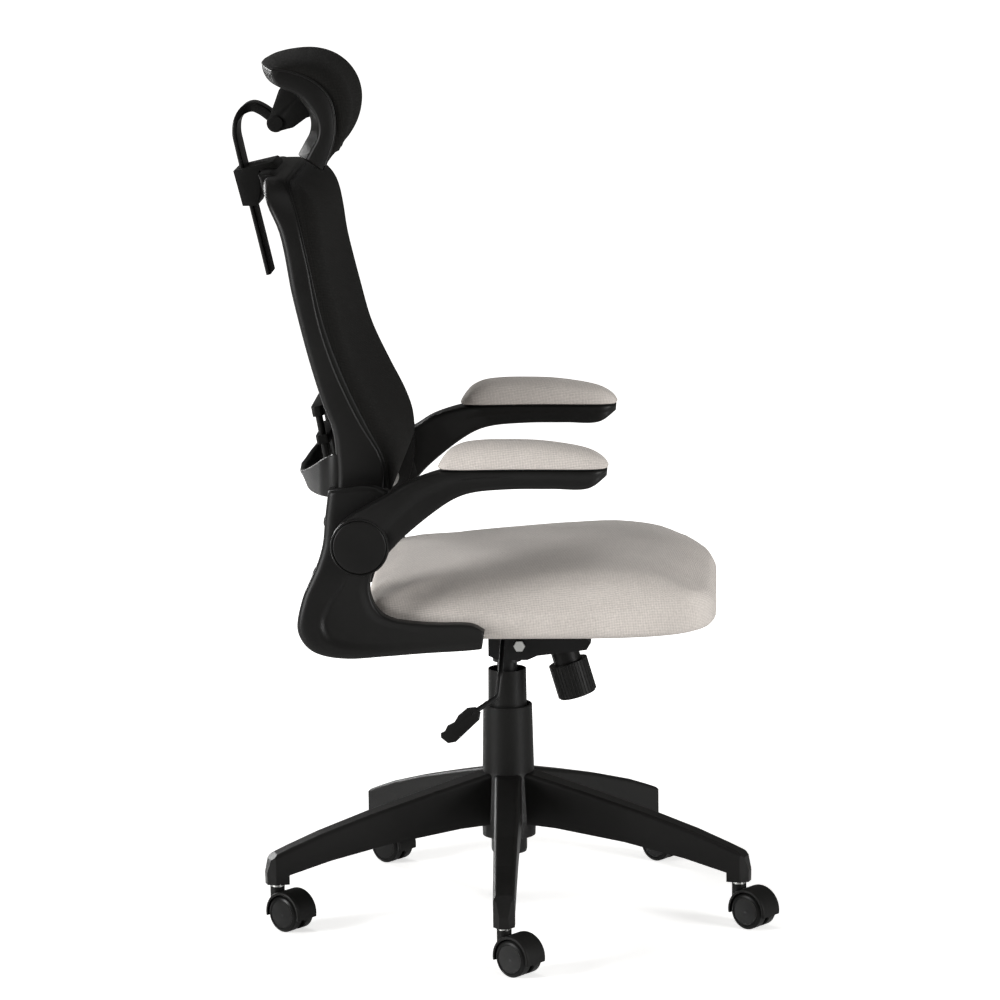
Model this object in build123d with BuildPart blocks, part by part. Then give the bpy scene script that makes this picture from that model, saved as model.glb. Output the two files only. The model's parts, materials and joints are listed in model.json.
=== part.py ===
"""High-back office armchair on a swivelling five-star base.

Millimetres. +X is the way the sitter faces, +Y the sitter's left, +Z up.
The origin is on the floor, on the axis of the gas column.
"""
from build123d import *
from math import cos, radians, sin
import os

os.makedirs("parts", exist_ok=True)

# ---------------------------------------------------------------- driving dimensions
# base and casters
LEG_COUNT = 5
FIRST_LEG_ANGLE = -88.7
STEM_CIRCLE = 335.0
HUB_TOP = 197.0
HUB_BOTTOM = 104.0
HUB_RADIUS = 35.0
LEG_ROOT_WIDTH = 38.0
LEG_TIP_WIDTH = 29.0
LEG_WALL = 4.0
SOCKET_BOTTOM = 62.0
STEM_RADIUS = 5.5
WHEEL_RADIUS = 25.0
WHEEL_INNER = 3.7
WHEEL_OUTER = 20.5
AXLE_RADIUS = 3.0
CASTER_TRAIL = 24.9
CASTER_ANGLE = -37.2
HOOD_INNER_RADIUS = 27.0
HOOD_OUTER_RADIUS = 31.0
HOOD_HALF_WIDTH = 19.0
WEB_HALF = 3.2

# gas column
PIPE_RADIUS = 25.0
PIPE_BORE = 22.5
PIPE_BOTTOM = 80.0
PIPE_TOP = 290.0
CYLINDER_RADIUS = 14.0
CYLINDER_BORE = 12.0
CYLINDER_BOTTOM = 156.0
CYLINDER_TOP = 398.0
ROD_RADIUS = 5.0
RUN = 0.06                      # radial clearance of a running fit
COVER_JOIN = 291.0
SLEEVE_BOTTOM = 246.0
SLEEVE_TOP = 341.0

# tilt mechanism
TILT_X, TILT_Z = 19.5, 382.0
TILT_SHAFT_RADIUS = 5.0
KNOB_X, KNOB_Z, KNOB_LEAN = 84.5, 350.5, 16.3
KNOB_RADIUS = 27.5
KNOB_LENGTH = 49.0
LEVER_PIVOT_Y, LEVER_PIVOT_Z = -35.0, 409.0
LEVER_RADIUS = 3.4
BUSH_RADIUS, BUSH_LENGTH = 7.0, 12.0

# seat
PAN_BOTTOM = 430.0
PAN_THICKNESS = 11.0
SEAT_HALF_WIDTH = 244.0
BRACKET_IN, BRACKET_OUT = 250.0, 272.0

# arms
ARM_X, ARM_Z = -179.0, 569.0
ARM_IN, ARM_OUT = 272.4, 301.0
ARM_SHELF_IN = 247.0
ARM_RING = 39.0
CAP_RADIUS = 35.6
PAD_CENTRE_Y = 274.0
PAD_HALF_WIDTH = 37.0

# back
BACK_HALF_WIDTH = 232.0
RAIL_WIDTH = 19.0
BACK_TOP = 1051.0
BACK_BOTTOM = 618.0
MESH_THICKNESS = 3.0
LUMBAR_POST_Y = 55.0
LUMBAR_LEAN = 10.0

# headrest
STEM_LEAN = 12.6
STEM_THICKNESS = 6.5
STEM_HALF_WIDTH = 33.0
HINGE_X, HINGE_Z = -304.0, 1105.0
REST_HALF_WIDTH = 130.0
REST_WING = 13.0                # how far the wings reach forward of the middle

# ---------------------------------------------------------------- outlines, (X, Z)
LEG_OUTLINE = [(22, 197), (41, 194), (126, 172), (203, 151), (274, 129), (317, 113), (337, 105),
               (346, 97), (351, 78), (350.5, 62), (321, 62), (321, 75), (261, 91), (175, 108),
               (75, 121), (22, 124)]
RAIL_REAR = [(-322, 1064), (-303, 1014), (-285, 977), (-268, 892), (-248, 808), (-231, 750),
             (-218, 714), (-214, 680), (-213.5, 640), (-214.5, 618)]
RAIL_FRONT = [(-301, 1064), (-271, 1025), (-248, 942), (-232, 857), (-212, 794), (-181, 726),
              (-154, 679), (-148, 645), (-145, 618)]
RIM_FRONT = [(-288, 1067), (-266, 1035), (-250, 990), (-236, 930), (-217, 850), (-187, 770),
             (-161, 715), (-142, 675), (-138, 645), (-136, 618)]
MESH_FRONT = [(-284, 1067), (-262, 1048), (-246, 1025), (-237, 1000), (-232, 970), (-227, 930), (-211, 860),
              (-195, 800), (-170, 745), (-150, 705), (-140, 675), (-137, 645), (-135, 618)]
BRACKET_REAR = [(-222, 639), (-227, 602), (-231, 566), (-240, 537), (-259, 494), (-267, 454)]
BRACKET_SOLE = [(-232, 415), (-200, 411), (-98, 418), (-21, 423)]
BRACKET_FRONT = [(-31, 456), (-80, 458), (-137, 464), (-161, 481), (-169, 508), (-160, 545)]
ARM_TOP = [(-199, 603), (-171, 622), (-140, 639), (-115, 654), (-75, 668), (-48, 670)]
ARM_UNDER = [(122, 644), (76, 645), (19, 644), (-30, 640), (-53, 632), (-82, 613), (-123, 579), (-149, 545)]
PAD_CROWN = [(-74, 672), (-68, 694), (-45, 702), (38, 707), (120, 693), (148, 678)]
SEAT_TOP = [(-163, 470), (-152, 505), (-89, 519), (2, 527), (93, 533), (153, 535), (208, 530), (241, 518),
            (270, 495), (285, 470)]
# Front-view crown of the seat, (Y, Z)
SEAT_DOME = [(-244, 455), (-240, 475), (-222, 503), (-190, 522), (-110, 533), (0, 537), (110, 533),
             (190, 522), (222, 503), (240, 475), (244, 455)]
REST_FRONT = [(-318, 1192), (-297, 1202), (-262, 1205), (-226, 1191), (-204, 1160), (-198, 1130),
              (-208, 1095), (-230, 1070), (-258, 1056)]
REST_SEAM = [(-322, 1186), (-290, 1178), (-258, 1163), (-240, 1140), (-235, 1112), (-242, 1085), (-262, 1058)]
REST_REAR = [(-324, 1178), (-295, 1170), (-266, 1156), (-250, 1136), (-246, 1112), (-252, 1088), (-269, 1060)]

saved = []


def save(piece, name):
    """Label one finished piece and write it to its own file."""
    piece.part.label = name
    export_step(piece.part, "parts/" + name + ".step")
    saved.append(name)


def moved(piece, turn, x, y):
    """A copy of a piece turned about +Z and then carried to (x, y)."""
    return Pos(x, y, 0) * Rot(0, 0, turn) * piece


def side_plane(y):
    """Plane whose sketch axes are X and Z and whose normal is -Y, at the given Y."""
    return Plane(origin=(0, y, 0), x_dir=(1, 0, 0), z_dir=(0, -1, 0))


def front_plane(x):
    """Plane whose sketch axes are Y and Z and whose normal is +X."""
    return Plane(origin=(x, 0, 0), x_dir=(0, 1, 0), z_dir=(1, 0, 0))


def mirror_pair(make, name):
    """Make one piece for each side of the chair: side is -1 on the right, 1 on the left."""
    for side, word in ((-1, "right"), (1, "left")):
        save(make(side), name + "_" + word)


def slab(side, outer, inner):
    """Plane at |Y| = outer on one side, and the signed depth that reaches |Y| = inner."""
    return side_plane(side * outer), side * (outer - inner)


# ---------------------------------------------------------------- base
def make_leg():
    """One hollow leg lying along +X: rounded top, open ribbed underside, round stem socket."""
    pockets = [(44, 122), (126, 204), (208, 308)]
    with BuildPart() as leg:
        with BuildSketch(side_plane(0)):
            with BuildLine():
                Polyline(LEG_OUTLINE, close=True)
            make_face()
        extrude(amount=LEG_ROOT_WIDTH / 2, both=True)
        with BuildSketch(Plane.XY.offset(SOCKET_BOTTOM)):
            with BuildLine():
                Polyline([(22, -LEG_ROOT_WIDTH / 2), (340, -LEG_TIP_WIDTH / 2), (351, -6), (351, 6),
                          (340, LEG_TIP_WIDTH / 2), (22, LEG_ROOT_WIDTH / 2)], close=True)
            make_face()
        extrude(amount=HUB_TOP, mode=Mode.INTERSECT)
        crest = leg.edges().filter_by(lambda e: e.center().Z > 100 and abs(e.center().Y) > 10
                                      and e.bounding_box().size.X > 20
                                      and e.center().Z > 197 - 0.36 * e.center().X)
        fillet(crest, 6)
        for start, end in pockets:
            top_start = 188 - 0.275 * start
            top_end = 188 - 0.275 * end
            half = LEG_TIP_WIDTH / 2 - LEG_WALL
            with BuildSketch(side_plane(0)):
                with BuildLine():
                    Polyline([(start, 60), (end, 60), (end, top_end), (start, top_start)], close=True)
                make_face()
            extrude(amount=half, both=True, mode=Mode.SUBTRACT)
        with BuildSketch(Plane.XY.offset(SOCKET_BOTTOM)):
            with Locations((STEM_CIRCLE, 0)):
                Circle(STEM_RADIUS + RUN)
        extrude(amount=38, mode=Mode.SUBTRACT)
    return leg.part


leg_solid = make_leg()
with BuildPart() as base_star:
    with BuildSketch(side_plane(0)):
        with BuildLine():
            Polyline([(PIPE_RADIUS, HUB_BOTTOM), (HUB_RADIUS + 2, HUB_BOTTOM), (HUB_RADIUS + 3, 128),
                      (HUB_RADIUS, HUB_TOP), (PIPE_RADIUS, HUB_TOP)], close=True)
        make_face()
    revolve(axis=Axis.Z)
    with PolarLocations(0, LEG_COUNT, start_angle=FIRST_LEG_ANGLE):
        add(leg_solid)
    with BuildSketch(Plane.XY.offset(PIPE_BOTTOM)):
        Circle(PIPE_RADIUS)
    extrude(amount=HUB_TOP, mode=Mode.SUBTRACT)
save(base_star, "base_star")


# ---------------------------------------------------------------- casters
def make_hood():
    """Fender over the two wheels, centre web with the axle hole, and the post round the stem."""
    with BuildPart() as hood:
        with BuildSketch(side_plane(0)):
            with Locations((CASTER_TRAIL, WHEEL_RADIUS)):
                Circle(HOOD_OUTER_RADIUS)
                Circle(HOOD_INNER_RADIUS, mode=Mode.SUBTRACT)
            with Locations((CASTER_TRAIL, -18)):
                Rectangle(90, 76, mode=Mode.SUBTRACT)
        extrude(amount=HOOD_HALF_WIDTH, both=True)
        fillet(hood.edges().filter_by(GeomType.CIRCLE).group_by(SortBy.RADIUS)[-1], 2.5)
        with BuildSketch(side_plane(0)):
            with Locations((CASTER_TRAIL, WHEEL_RADIUS)):
                Circle(HOOD_INNER_RADIUS + 1)
            with Locations((CASTER_TRAIL, -20)):
                Rectangle(90, 74, mode=Mode.SUBTRACT)
        extrude(amount=WEB_HALF, both=True)
        with BuildSketch(Plane.XY.offset(18)):
            Circle(10)
        extrude(amount=40)
        with BuildSketch(side_plane(0)):
            with Locations((CASTER_TRAIL, WHEEL_RADIUS)):
                Circle(HOOD_INNER_RADIUS - 0.6)
        gaps = extrude(amount=HOOD_HALF_WIDTH + 2, both=True, mode=Mode.PRIVATE)
        with BuildSketch(side_plane(0)):
            with Locations((CASTER_TRAIL, WHEEL_RADIUS)):
                Circle(HOOD_INNER_RADIUS)
        keep = extrude(amount=WEB_HALF, both=True, mode=Mode.PRIVATE)
        add(gaps - keep, mode=Mode.SUBTRACT)
        with BuildSketch(side_plane(0)):
            with Locations((CASTER_TRAIL, WHEEL_RADIUS)):
                Circle(AXLE_RADIUS + RUN)
        extrude(amount=WEB_HALF + 1, both=True, mode=Mode.SUBTRACT)
        with BuildSketch(Plane.XY.offset(45)):
            Circle(STEM_RADIUS + RUN)
        extrude(amount=20, mode=Mode.SUBTRACT)
    return hood.part


def make_stem():
    """Steel stem with the collar that shows between the hood and the leg socket."""
    with BuildPart() as stem:
        with BuildSketch(Plane.XY.offset(45)):
            Circle(STEM_RADIUS)
        extrude(amount=50)
        with BuildSketch(Plane.XY.offset(58)):
            Circle(8.6)
        extrude(amount=3.6)
        chamfer(stem.edges().sort_by(Axis.Z)[-1], 1)
    return stem.part


def make_wheels():
    """Two dished wheels pressed on one axle."""
    with BuildPart() as wheels:
        for side in (-1, 1):
            with BuildSketch(Plane.XY):
                with BuildLine():
                    Polyline([(0, side * WHEEL_INNER), (WHEEL_RADIUS - 1.5, side * WHEEL_INNER),
                              (WHEEL_RADIUS, side * (WHEEL_INNER + 1.5)), (WHEEL_RADIUS, side * 17),
                              (WHEEL_RADIUS - 2, side * 19.2), (WHEEL_RADIUS - 4.5, side * WHEEL_OUTER),
                              (WHEEL_RADIUS - 6, side * 19.2), (0, side * 18.6)], close=True)
                make_face()
            revolve(axis=Axis.Y)
        with BuildSketch(side_plane(0)):
            Circle(AXLE_RADIUS)
        extrude(amount=WHEEL_INNER + 1, both=True)
    return Pos(CASTER_TRAIL, 0, WHEEL_RADIUS) * wheels.part


hood_solid = make_hood()
stem_solid = make_stem()
wheels_solid = make_wheels()
for index in range(LEG_COUNT):
    leg_angle = radians(FIRST_LEG_ANGLE + 360 / LEG_COUNT * index)
    x, y = STEM_CIRCLE * cos(leg_angle), STEM_CIRCLE * sin(leg_angle)
    for solid, word in ((hood_solid, "hood"), (stem_solid, "stem"), (wheels_solid, "wheels")):
        with BuildPart() as caster_piece:
            add(moved(solid, CASTER_ANGLE, x, y))
        save(caster_piece, "caster_" + word + "_" + str(index + 1))


# ---------------------------------------------------------------- gas column
def ring(outer, inner, bottom, top):
    """A plain tube about the column axis."""
    with BuildPart() as tube:
        with BuildSketch(Plane.XY.offset(bottom)):
            Circle(outer)
            Circle(inner, mode=Mode.SUBTRACT)
        extrude(amount=top - bottom)
    return tube


def turned(points):
    """A piece turned about the column axis from (radius, Z) points."""
    with BuildPart() as lathe:
        with BuildSketch(side_plane(0)):
            with BuildLine():
                Polyline(points, close=True)
            make_face()
        revolve(axis=Axis.Z)
    return lathe


save(turned([(ROD_RADIUS + 0.2, PIPE_BOTTOM), (PIPE_RADIUS - 1, PIPE_BOTTOM), (PIPE_RADIUS, PIPE_BOTTOM + 4),
             (PIPE_RADIUS, PIPE_TOP), (PIPE_BORE, PIPE_TOP), (PIPE_BORE, PIPE_BOTTOM + 4),
             (ROD_RADIUS + 0.2, PIPE_BOTTOM + 4)]), "standpipe")
save(ring(PIPE_BORE, CYLINDER_RADIUS + RUN, 168, 288), "guide_bush")
save(ring(12, ROD_RADIUS + 0.2, PIPE_BOTTOM + 4, PIPE_BOTTOM + 10), "thrust_bearing")
save(turned([(HUB_RADIUS - 2, HUB_TOP), (HUB_RADIUS + 1, HUB_TOP), (HUB_RADIUS - 0.8, COVER_JOIN - 1.2),
             (HUB_RADIUS - 2, COVER_JOIN), (HUB_RADIUS - 3, COVER_JOIN)]), "cover_lower")
save(turned([(PIPE_RADIUS + RUN, SLEEVE_BOTTOM), (27.3, SLEEVE_BOTTOM), (26.4, SLEEVE_TOP),
             (PIPE_RADIUS + RUN, SLEEVE_TOP)]), "cover_upper")
save(turned([(0, 76), (ROD_RADIUS, 76), (ROD_RADIUS, PIPE_BOTTOM + 10), (9, PIPE_BOTTOM + 10),
             (9, PIPE_BOTTOM + 13), (ROD_RADIUS, PIPE_BOTTOM + 13), (ROD_RADIUS, 228),
             (CYLINDER_BORE - RUN, 228), (CYLINDER_BORE - RUN, 240), (0, 240)]), "piston_rod")
save(ring(8.5, ROD_RADIUS, PIPE_BOTTOM - 2.6, PIPE_BOTTOM - 0.4), "retaining_clip")
save(turned([(ROD_RADIUS + RUN, CYLINDER_BOTTOM), (CYLINDER_RADIUS - 1, CYLINDER_BOTTOM),
             (CYLINDER_RADIUS, CYLINDER_BOTTOM + 1), (CYLINDER_RADIUS, 352), (13.2, CYLINDER_TOP),
             (4.06, CYLINDER_TOP), (4.06, 345), (CYLINDER_BORE, 335), (CYLINDER_BORE, CYLINDER_BOTTOM + 8),
             (ROD_RADIUS + RUN, CYLINDER_BOTTOM + 8)]), "gas_cylinder")
save(turned([(0, 350), (4, 350), (4, 404), (2.5, 405), (0, 405)]), "release_pin")


# ---------------------------------------------------------------- tilt mechanism
def knob_plane(along):
    """Plane across the knob's axis, 'along' millimetres up it from the knob's top rim."""
    lean = radians(KNOB_LEAN)
    up = Vector(-sin(lean), 0, cos(lean))
    return Plane(origin=Vector(KNOB_X, 0, KNOB_Z) + up * along, x_dir=(0, 1, 0), z_dir=up)


def make_mechanism_housing():
    """Open steel trough that is seated on the column's taper and carries the tension spring."""
    with BuildPart() as housing:
        with BuildSketch(side_plane(0)):
            with BuildLine():
                Polyline([(-24, 366), (-10, 360), (30, 360), (44, 366), (112, 374), (118, 384), (104, 398),
                          (60, 404), (-24, 404)], close=True)
            make_face()
        extrude(amount=38, both=True)
        with BuildSketch(Plane.XY.offset(370)):
            with Locations((2, 0)):
                Rectangle(46, 70)
        extrude(amount=60, mode=Mode.SUBTRACT)
        with BuildSketch(Plane.XY.offset(388)):
            with Locations((74, 0)):
                Rectangle(90, 70)
        extrude(amount=60, mode=Mode.SUBTRACT)
        with BuildSketch(Plane.XY.offset(352)):
            Circle(20)
        extrude(amount=46)
        with BuildSketch(side_plane(0)):
            with BuildLine():
                Polyline([(0, 350), (14.05, 350), (14, 352), (13.2, CYLINDER_TOP), (13.2, 399), (0, 399)],
                         close=True)
            make_face()
        revolve(axis=Axis.Z, mode=Mode.SUBTRACT)
        with BuildSketch(side_plane(0)):
            with Locations((TILT_X, TILT_Z)):
                Circle(TILT_SHAFT_RADIUS + RUN)
        extrude(amount=60, both=True, mode=Mode.SUBTRACT)
        with BuildSketch(knob_plane(60)):
            Circle(19.6)
        extrude(amount=-60, mode=Mode.SUBTRACT)
        with BuildSketch(Plane.XZ.offset(30)):
            with Locations((0, LEVER_PIVOT_Z - 4)):
                Rectangle(18, 12)
            with Locations((0, LEVER_PIVOT_Z)):
                Circle(9)
        extrude(amount=8)
        with Locations((0, LEVER_PIVOT_Y, LEVER_PIVOT_Z)):
            Cylinder(BUSH_RADIUS + RUN, BUSH_LENGTH + 2 * RUN, rotation=(0, 90, 0), mode=Mode.SUBTRACT)
    return housing


def make_knob():
    """Hollow knob with a fluted grip round it."""
    flutes = 36
    with BuildPart() as knob:
        with BuildSketch(knob_plane(0)):
            Circle(KNOB_RADIUS)
            with PolarLocations(KNOB_RADIUS + 0.2, flutes):
                Circle(1.0, mode=Mode.SUBTRACT)
        extrude(amount=-KNOB_LENGTH)
        with BuildSketch(knob_plane(0)):
            Circle(20.2)
        extrude(amount=-KNOB_LENGTH + 8, mode=Mode.SUBTRACT)
        with BuildSketch(knob_plane(-KNOB_LENGTH)):
            Circle(KNOB_RADIUS + 2)
            Circle(KNOB_RADIUS - 2.2, mode=Mode.SUBTRACT)
        extrude(amount=2.4, mode=Mode.SUBTRACT)
    return knob


def make_lever():
    """Steel rod from the release pin, out past the seat's centre line, and down to the paddle."""
    with BuildPart() as lever:
        with BuildLine():
            FilletPolyline((0, 14, LEVER_PIVOT_Z), (0, -110, LEVER_PIVOT_Z), (0, -196, 375), (-4, -208, 346),
                           (-38, -221, 326), radius=9)
        with BuildSketch(Plane(origin=(0, 14, LEVER_PIVOT_Z), x_dir=(1, 0, 0), z_dir=(0, -1, 0))):
            Circle(LEVER_RADIUS)
        sweep()
    return lever


def make_lever_handle():
    """Flat paddle with finger scallops along its lower edge."""
    grip = Plane(origin=(-30, -218, 331), x_dir=Vector(-43, -10, -38), z_dir=Vector(-0.12, -0.97, 0.22))
    with BuildPart() as handle:
        with BuildSketch(grip):
            with BuildLine():
                Polyline([(0, 5), (8, 11), (52, 11), (60, 6), (62, -6), (58, -11), (52, -9), (44, -12),
                          (34, -9), (24, -12), (8, -11), (0, -5)], close=True)
            make_face()
        extrude(amount=5, both=True)
        fillet(handle.faces().sort_by(Axis(grip.origin, grip.z_dir))[-1].edges(), 1.5)
        add(lift_lever.part, mode=Mode.SUBTRACT)
    return handle


save(make_mechanism_housing(), "mechanism_housing")
with BuildPart() as tilt_shaft:
    with BuildSketch(side_plane(0)):
        with Locations((TILT_X, TILT_Z)):
            Circle(TILT_SHAFT_RADIUS)
    extrude(amount=46, both=True)
    for end in (-46, 46):
        with BuildSketch(side_plane(end)):
            with Locations((TILT_X, TILT_Z)):
                RegularPolygon(8, 6)
        extrude(amount=-5 if end > 0 else 5)
save(tilt_shaft, "tilt_shaft")
with BuildPart() as spring_housing:
    with BuildSketch(knob_plane(-36)):
        Circle(19.5)
        Circle(16.5, mode=Mode.SUBTRACT)
    extrude(amount=72)
    with BuildSketch(knob_plane(32)):
        Circle(17)
        Circle(5.1, mode=Mode.SUBTRACT)
    extrude(amount=4)
save(spring_housing, "spring_housing")
with BuildPart() as tension_spring:
    with BuildLine() as coil:
        Helix(pitch=10.5, height=62, radius=12, center=knob_plane(-33).origin, direction=knob_plane(0).z_dir)
    with BuildSketch(Plane(origin=coil.line @ 0, z_dir=coil.line % 0)):
        Circle(2.6)
    sweep(is_frenet=True)
save(tension_spring, "tension_spring")
tension_knob = make_knob()
with BuildPart() as tension_bolt:
    with BuildSketch(knob_plane(-KNOB_LENGTH + 8)):
        Circle(ROD_RADIUS)
    extrude(amount=KNOB_LENGTH + 30)
save(tension_knob, "tension_knob")
save(tension_bolt, "tension_bolt")
with BuildPart() as lever_bush:
    with Locations((0, LEVER_PIVOT_Y, LEVER_PIVOT_Z)):
        Cylinder(BUSH_RADIUS, BUSH_LENGTH, rotation=(0, 90, 0))
        Cylinder(LEVER_RADIUS + RUN, 3 * BUSH_RADIUS, rotation=(90, 0, 0), mode=Mode.SUBTRACT)
save(lever_bush, "lever_bush")
lift_lever = make_lever()
save(lift_lever, "lift_lever")
save(make_lever_handle(), "lever_handle")


# ---------------------------------------------------------------- seat
with BuildPart() as seat_plate:
    with BuildSketch(Plane.XY.offset(PAN_BOTTOM - 3)):
        with Locations((32, 0)):
            Rectangle(120, 120)
        with Locations((-60, 0), (124, 0)):
            Rectangle(70, 196)
    extrude(amount=3)
    for face in (-43, 40):
        with BuildSketch(side_plane(face)):
            with BuildLine():
                Polyline([(22, PAN_BOTTOM - 3), (9, 380), (14, 371), (27, 371), (34, 378),
                          (80, PAN_BOTTOM - 3)], close=True)
            make_face()
            with Locations((TILT_X, TILT_Z)):
                Circle(TILT_SHAFT_RADIUS + RUN, mode=Mode.SUBTRACT)
        extrude(amount=-3)
save(seat_plate, "seat_plate")


def seat_plan(inset):
    """Plan outline of the seat: round corners, a little narrower behind."""
    half = SEAT_HALF_WIDTH - inset
    rear, front = -165 + inset, 297 - inset
    with BuildLine() as outline:
        FilletPolyline((rear, half - 30), (rear + 90, half - 2), (80, half), (front - 30, half - 12),
                       (front, 0), (front - 30, 12 - half), (80, -half), (rear + 90, 2 - half),
                       (rear, 30 - half), radius=40, close=True)
    return outline.edges()


with BuildPart() as seat_pan:
    with BuildSketch(Plane.XY.offset(PAN_BOTTOM)):
        make_face(seat_plan(26))
    extrude(amount=PAN_THICKNESS)
save(seat_pan, "seat_pan")
with BuildPart() as seat_cushion:
    with BuildSketch(side_plane(0)):
        with BuildLine():
            crown = Spline(SEAT_TOP)
            Polyline(crown @ 1, (294, 446), (280, PAN_BOTTOM + 1), (-150, PAN_BOTTOM + 1), (-162, 442), crown @ 0)
        make_face()
    extrude(amount=SEAT_HALF_WIDTH, both=True)
    with BuildSketch(Plane.XY.offset(PAN_BOTTOM)):
        make_face(seat_plan(0))
    extrude(amount=150, mode=Mode.INTERSECT)
    with BuildSketch(front_plane(-170)):
        with BuildLine():
            dome = Spline(SEAT_DOME)
            Polyline(dome @ 1, (SEAT_HALF_WIDTH, PAN_BOTTOM), (-SEAT_HALF_WIDTH, PAN_BOTTOM), dome @ 0)
        make_face()
    extrude(amount=480, mode=Mode.INTERSECT)
    add(seat_pan.part, mode=Mode.SUBTRACT)
save(seat_cushion, "seat_cushion")
with BuildPart() as seat_bolts:
    with BuildSketch(Plane.XY.offset(PAN_BOTTOM - 7.5)):
        with Locations((-60, 82), (-60, -82), (124, 82), (124, -82)):
            RegularPolygon(6.5, 6)
    extrude(amount=4.5)
save(seat_bolts, "seat_bolts")


def make_bracket(side):
    """L-shaped nylon arm bracket: outer plate, flange under the seat, rear wall and pivot boss."""
    with BuildPart() as bracket:
        plane, depth = slab(side, BRACKET_OUT, BRACKET_IN)
        with BuildSketch(plane):
            with BuildLine():
                rear = Spline(BRACKET_REAR)
                heel = Spline(rear @ 1, (-262, 437), BRACKET_SOLE[0], tangents=(rear % 1, Vector(1, -0.1)))
                Polyline(BRACKET_SOLE)
                Polyline(BRACKET_SOLE[-1], (-16, 430), (-17, 446), (-22, 454), BRACKET_FRONT[0])
                Spline(BRACKET_FRONT)
                Polyline(BRACKET_FRONT[-1], (-142, 600), (-142, 632), (-150, 639), (-169, 643), rear @ 0)
            make_face()
        extrude(amount=depth)
        with BuildSketch(Plane.XY.offset(PAN_BOTTOM - 8.3)):
            with Locations((-88, side * 204)):
                Rectangle(118, 94)
        extrude(amount=8)
        plane, depth = slab(side, BRACKET_IN, 214.5)
        with BuildSketch(plane):
            with BuildLine():
                Polyline([(-222, 636), (-227, 602), (-231, 566), (-240, 537), (-233, 537), (-224, 566),
                          (-220, 602), (-215, 636)], close=True)
            make_face()
        extrude(amount=depth)
        with BuildSketch(side_plane(0)):
            with Locations((ARM_X, ARM_Z)):
                Circle(8)
        extrude(amount=300, both=True, mode=Mode.SUBTRACT)
    return bracket


def make_arm_pin(side):
    """Shouldered pivot pin: round head inside the bracket, shank out through the arm."""
    with BuildPart() as pin:
        plane, depth = slab(side, BRACKET_IN, 243)
        with BuildSketch(plane):
            with Locations((ARM_X, ARM_Z)):
                Circle(15)
        extrude(amount=depth)
        plane, depth = slab(side, 296, BRACKET_IN)
        with BuildSketch(plane):
            with Locations((ARM_X, ARM_Z)):
                Circle(8)
        extrude(amount=depth)
    return pin


def make_arm(side):
    """Swept arm: pivot ring at the back, beam rising forward, shelf under the pad."""
    with BuildPart() as arm:
        plane, depth = slab(side, ARM_OUT, ARM_IN)
        with BuildSketch(plane):
            with BuildLine():
                Polyline(ARM_TOP)
                Polyline(ARM_TOP[-1], (152, 668), (150, 661), (143, 652), (133, 647), ARM_UNDER[0])
                Polyline(ARM_UNDER)
                Polyline(ARM_UNDER[-1], ARM_TOP[0])
            make_face()
            with Locations((ARM_X, ARM_Z)):
                Circle(ARM_RING)
        extrude(amount=depth)
        plane, depth = slab(side, ARM_IN, ARM_SHELF_IN)
        with BuildSketch(plane):
            with BuildLine():
                Polyline([(-75, 668), (152, 668), (150, 661), (143, 652), (133, 647), (122, 644), (19, 644),
                          (-30, 640), (-62, 630)], close=True)
            make_face()
        extrude(amount=depth)
        plane, depth = slab(side, ARM_OUT, 297.5)
        with BuildSketch(plane):
            with Locations((ARM_X, ARM_Z)):
                Circle(CAP_RADIUS + 0.3)
        extrude(amount=depth, mode=Mode.SUBTRACT)
        with BuildSketch(side_plane(0)):
            with Locations((ARM_X, ARM_Z)):
                Circle(8 + RUN)
        extrude(amount=320, both=True, mode=Mode.SUBTRACT)
    return arm


def make_pivot_cap(side):
    """Round cover snapped into the recess over the pivot."""
    with BuildPart() as cap:
        plane, depth = slab(side, 301.6, 297.6)
        with BuildSketch(plane):
            with Locations((ARM_X, ARM_Z)):
                Circle(CAP_RADIUS)
        extrude(amount=depth)
        chamfer(cap.edges().group_by(Axis.Y)[0 if side < 0 else -1], 0.8)
    return cap


def make_arm_pad(side):
    """Padded rest on the arm's shelf, crowned along its length."""
    with BuildPart() as pad:
        plane, depth = slab(side, PAD_CENTRE_Y + PAD_HALF_WIDTH, PAD_CENTRE_Y - PAD_HALF_WIDTH)
        with BuildSketch(plane):
            with BuildLine():
                crown = Spline(PAD_CROWN)
                Polyline(crown @ 1, (148, 671.5), (-74, 671.5), crown @ 0)
            make_face()
        extrude(amount=depth)
        with BuildSketch(Plane.XY.offset(660)):
            with Locations((37, side * PAD_CENTRE_Y)):
                RectangleRounded(226, 2 * PAD_HALF_WIDTH, 30)
        extrude(amount=80, mode=Mode.INTERSECT)
    return pad


mirror_pair(make_bracket, "bracket")
mirror_pair(make_arm_pin, "arm_pin")
mirror_pair(make_arm, "arm")
mirror_pair(make_pivot_cap, "pivot_cap")
mirror_pair(make_arm_pad, "arm_pad")


# ---------------------------------------------------------------- back
def back_outline(inset, bottom):
    """Front-view outline of the back, (Y, Z)."""
    half = BACK_HALF_WIDTH - inset
    top = BACK_TOP - inset
    with BuildLine() as outline:
        FilletPolyline((half, bottom), (half, 900), (half - 16, top), (16 - half, top), (-half, 900),
                       (-half, bottom), radius=60 - inset * 0.6)
        Line((-half, bottom), (half, bottom))
    return outline.edges()


def band(front, rear):
    """Edges of the side-view strip between two curves."""
    with BuildLine() as strip:
        near = Spline(front)
        far = Spline(rear)
        Line(near @ 0, far @ 0)
        Line(near @ 1, far @ 1)
    return strip.edges()


def shifted(curve, dx):
    """The same curve carried along X."""
    return [(x + dx, z) for x, z in curve]


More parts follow.
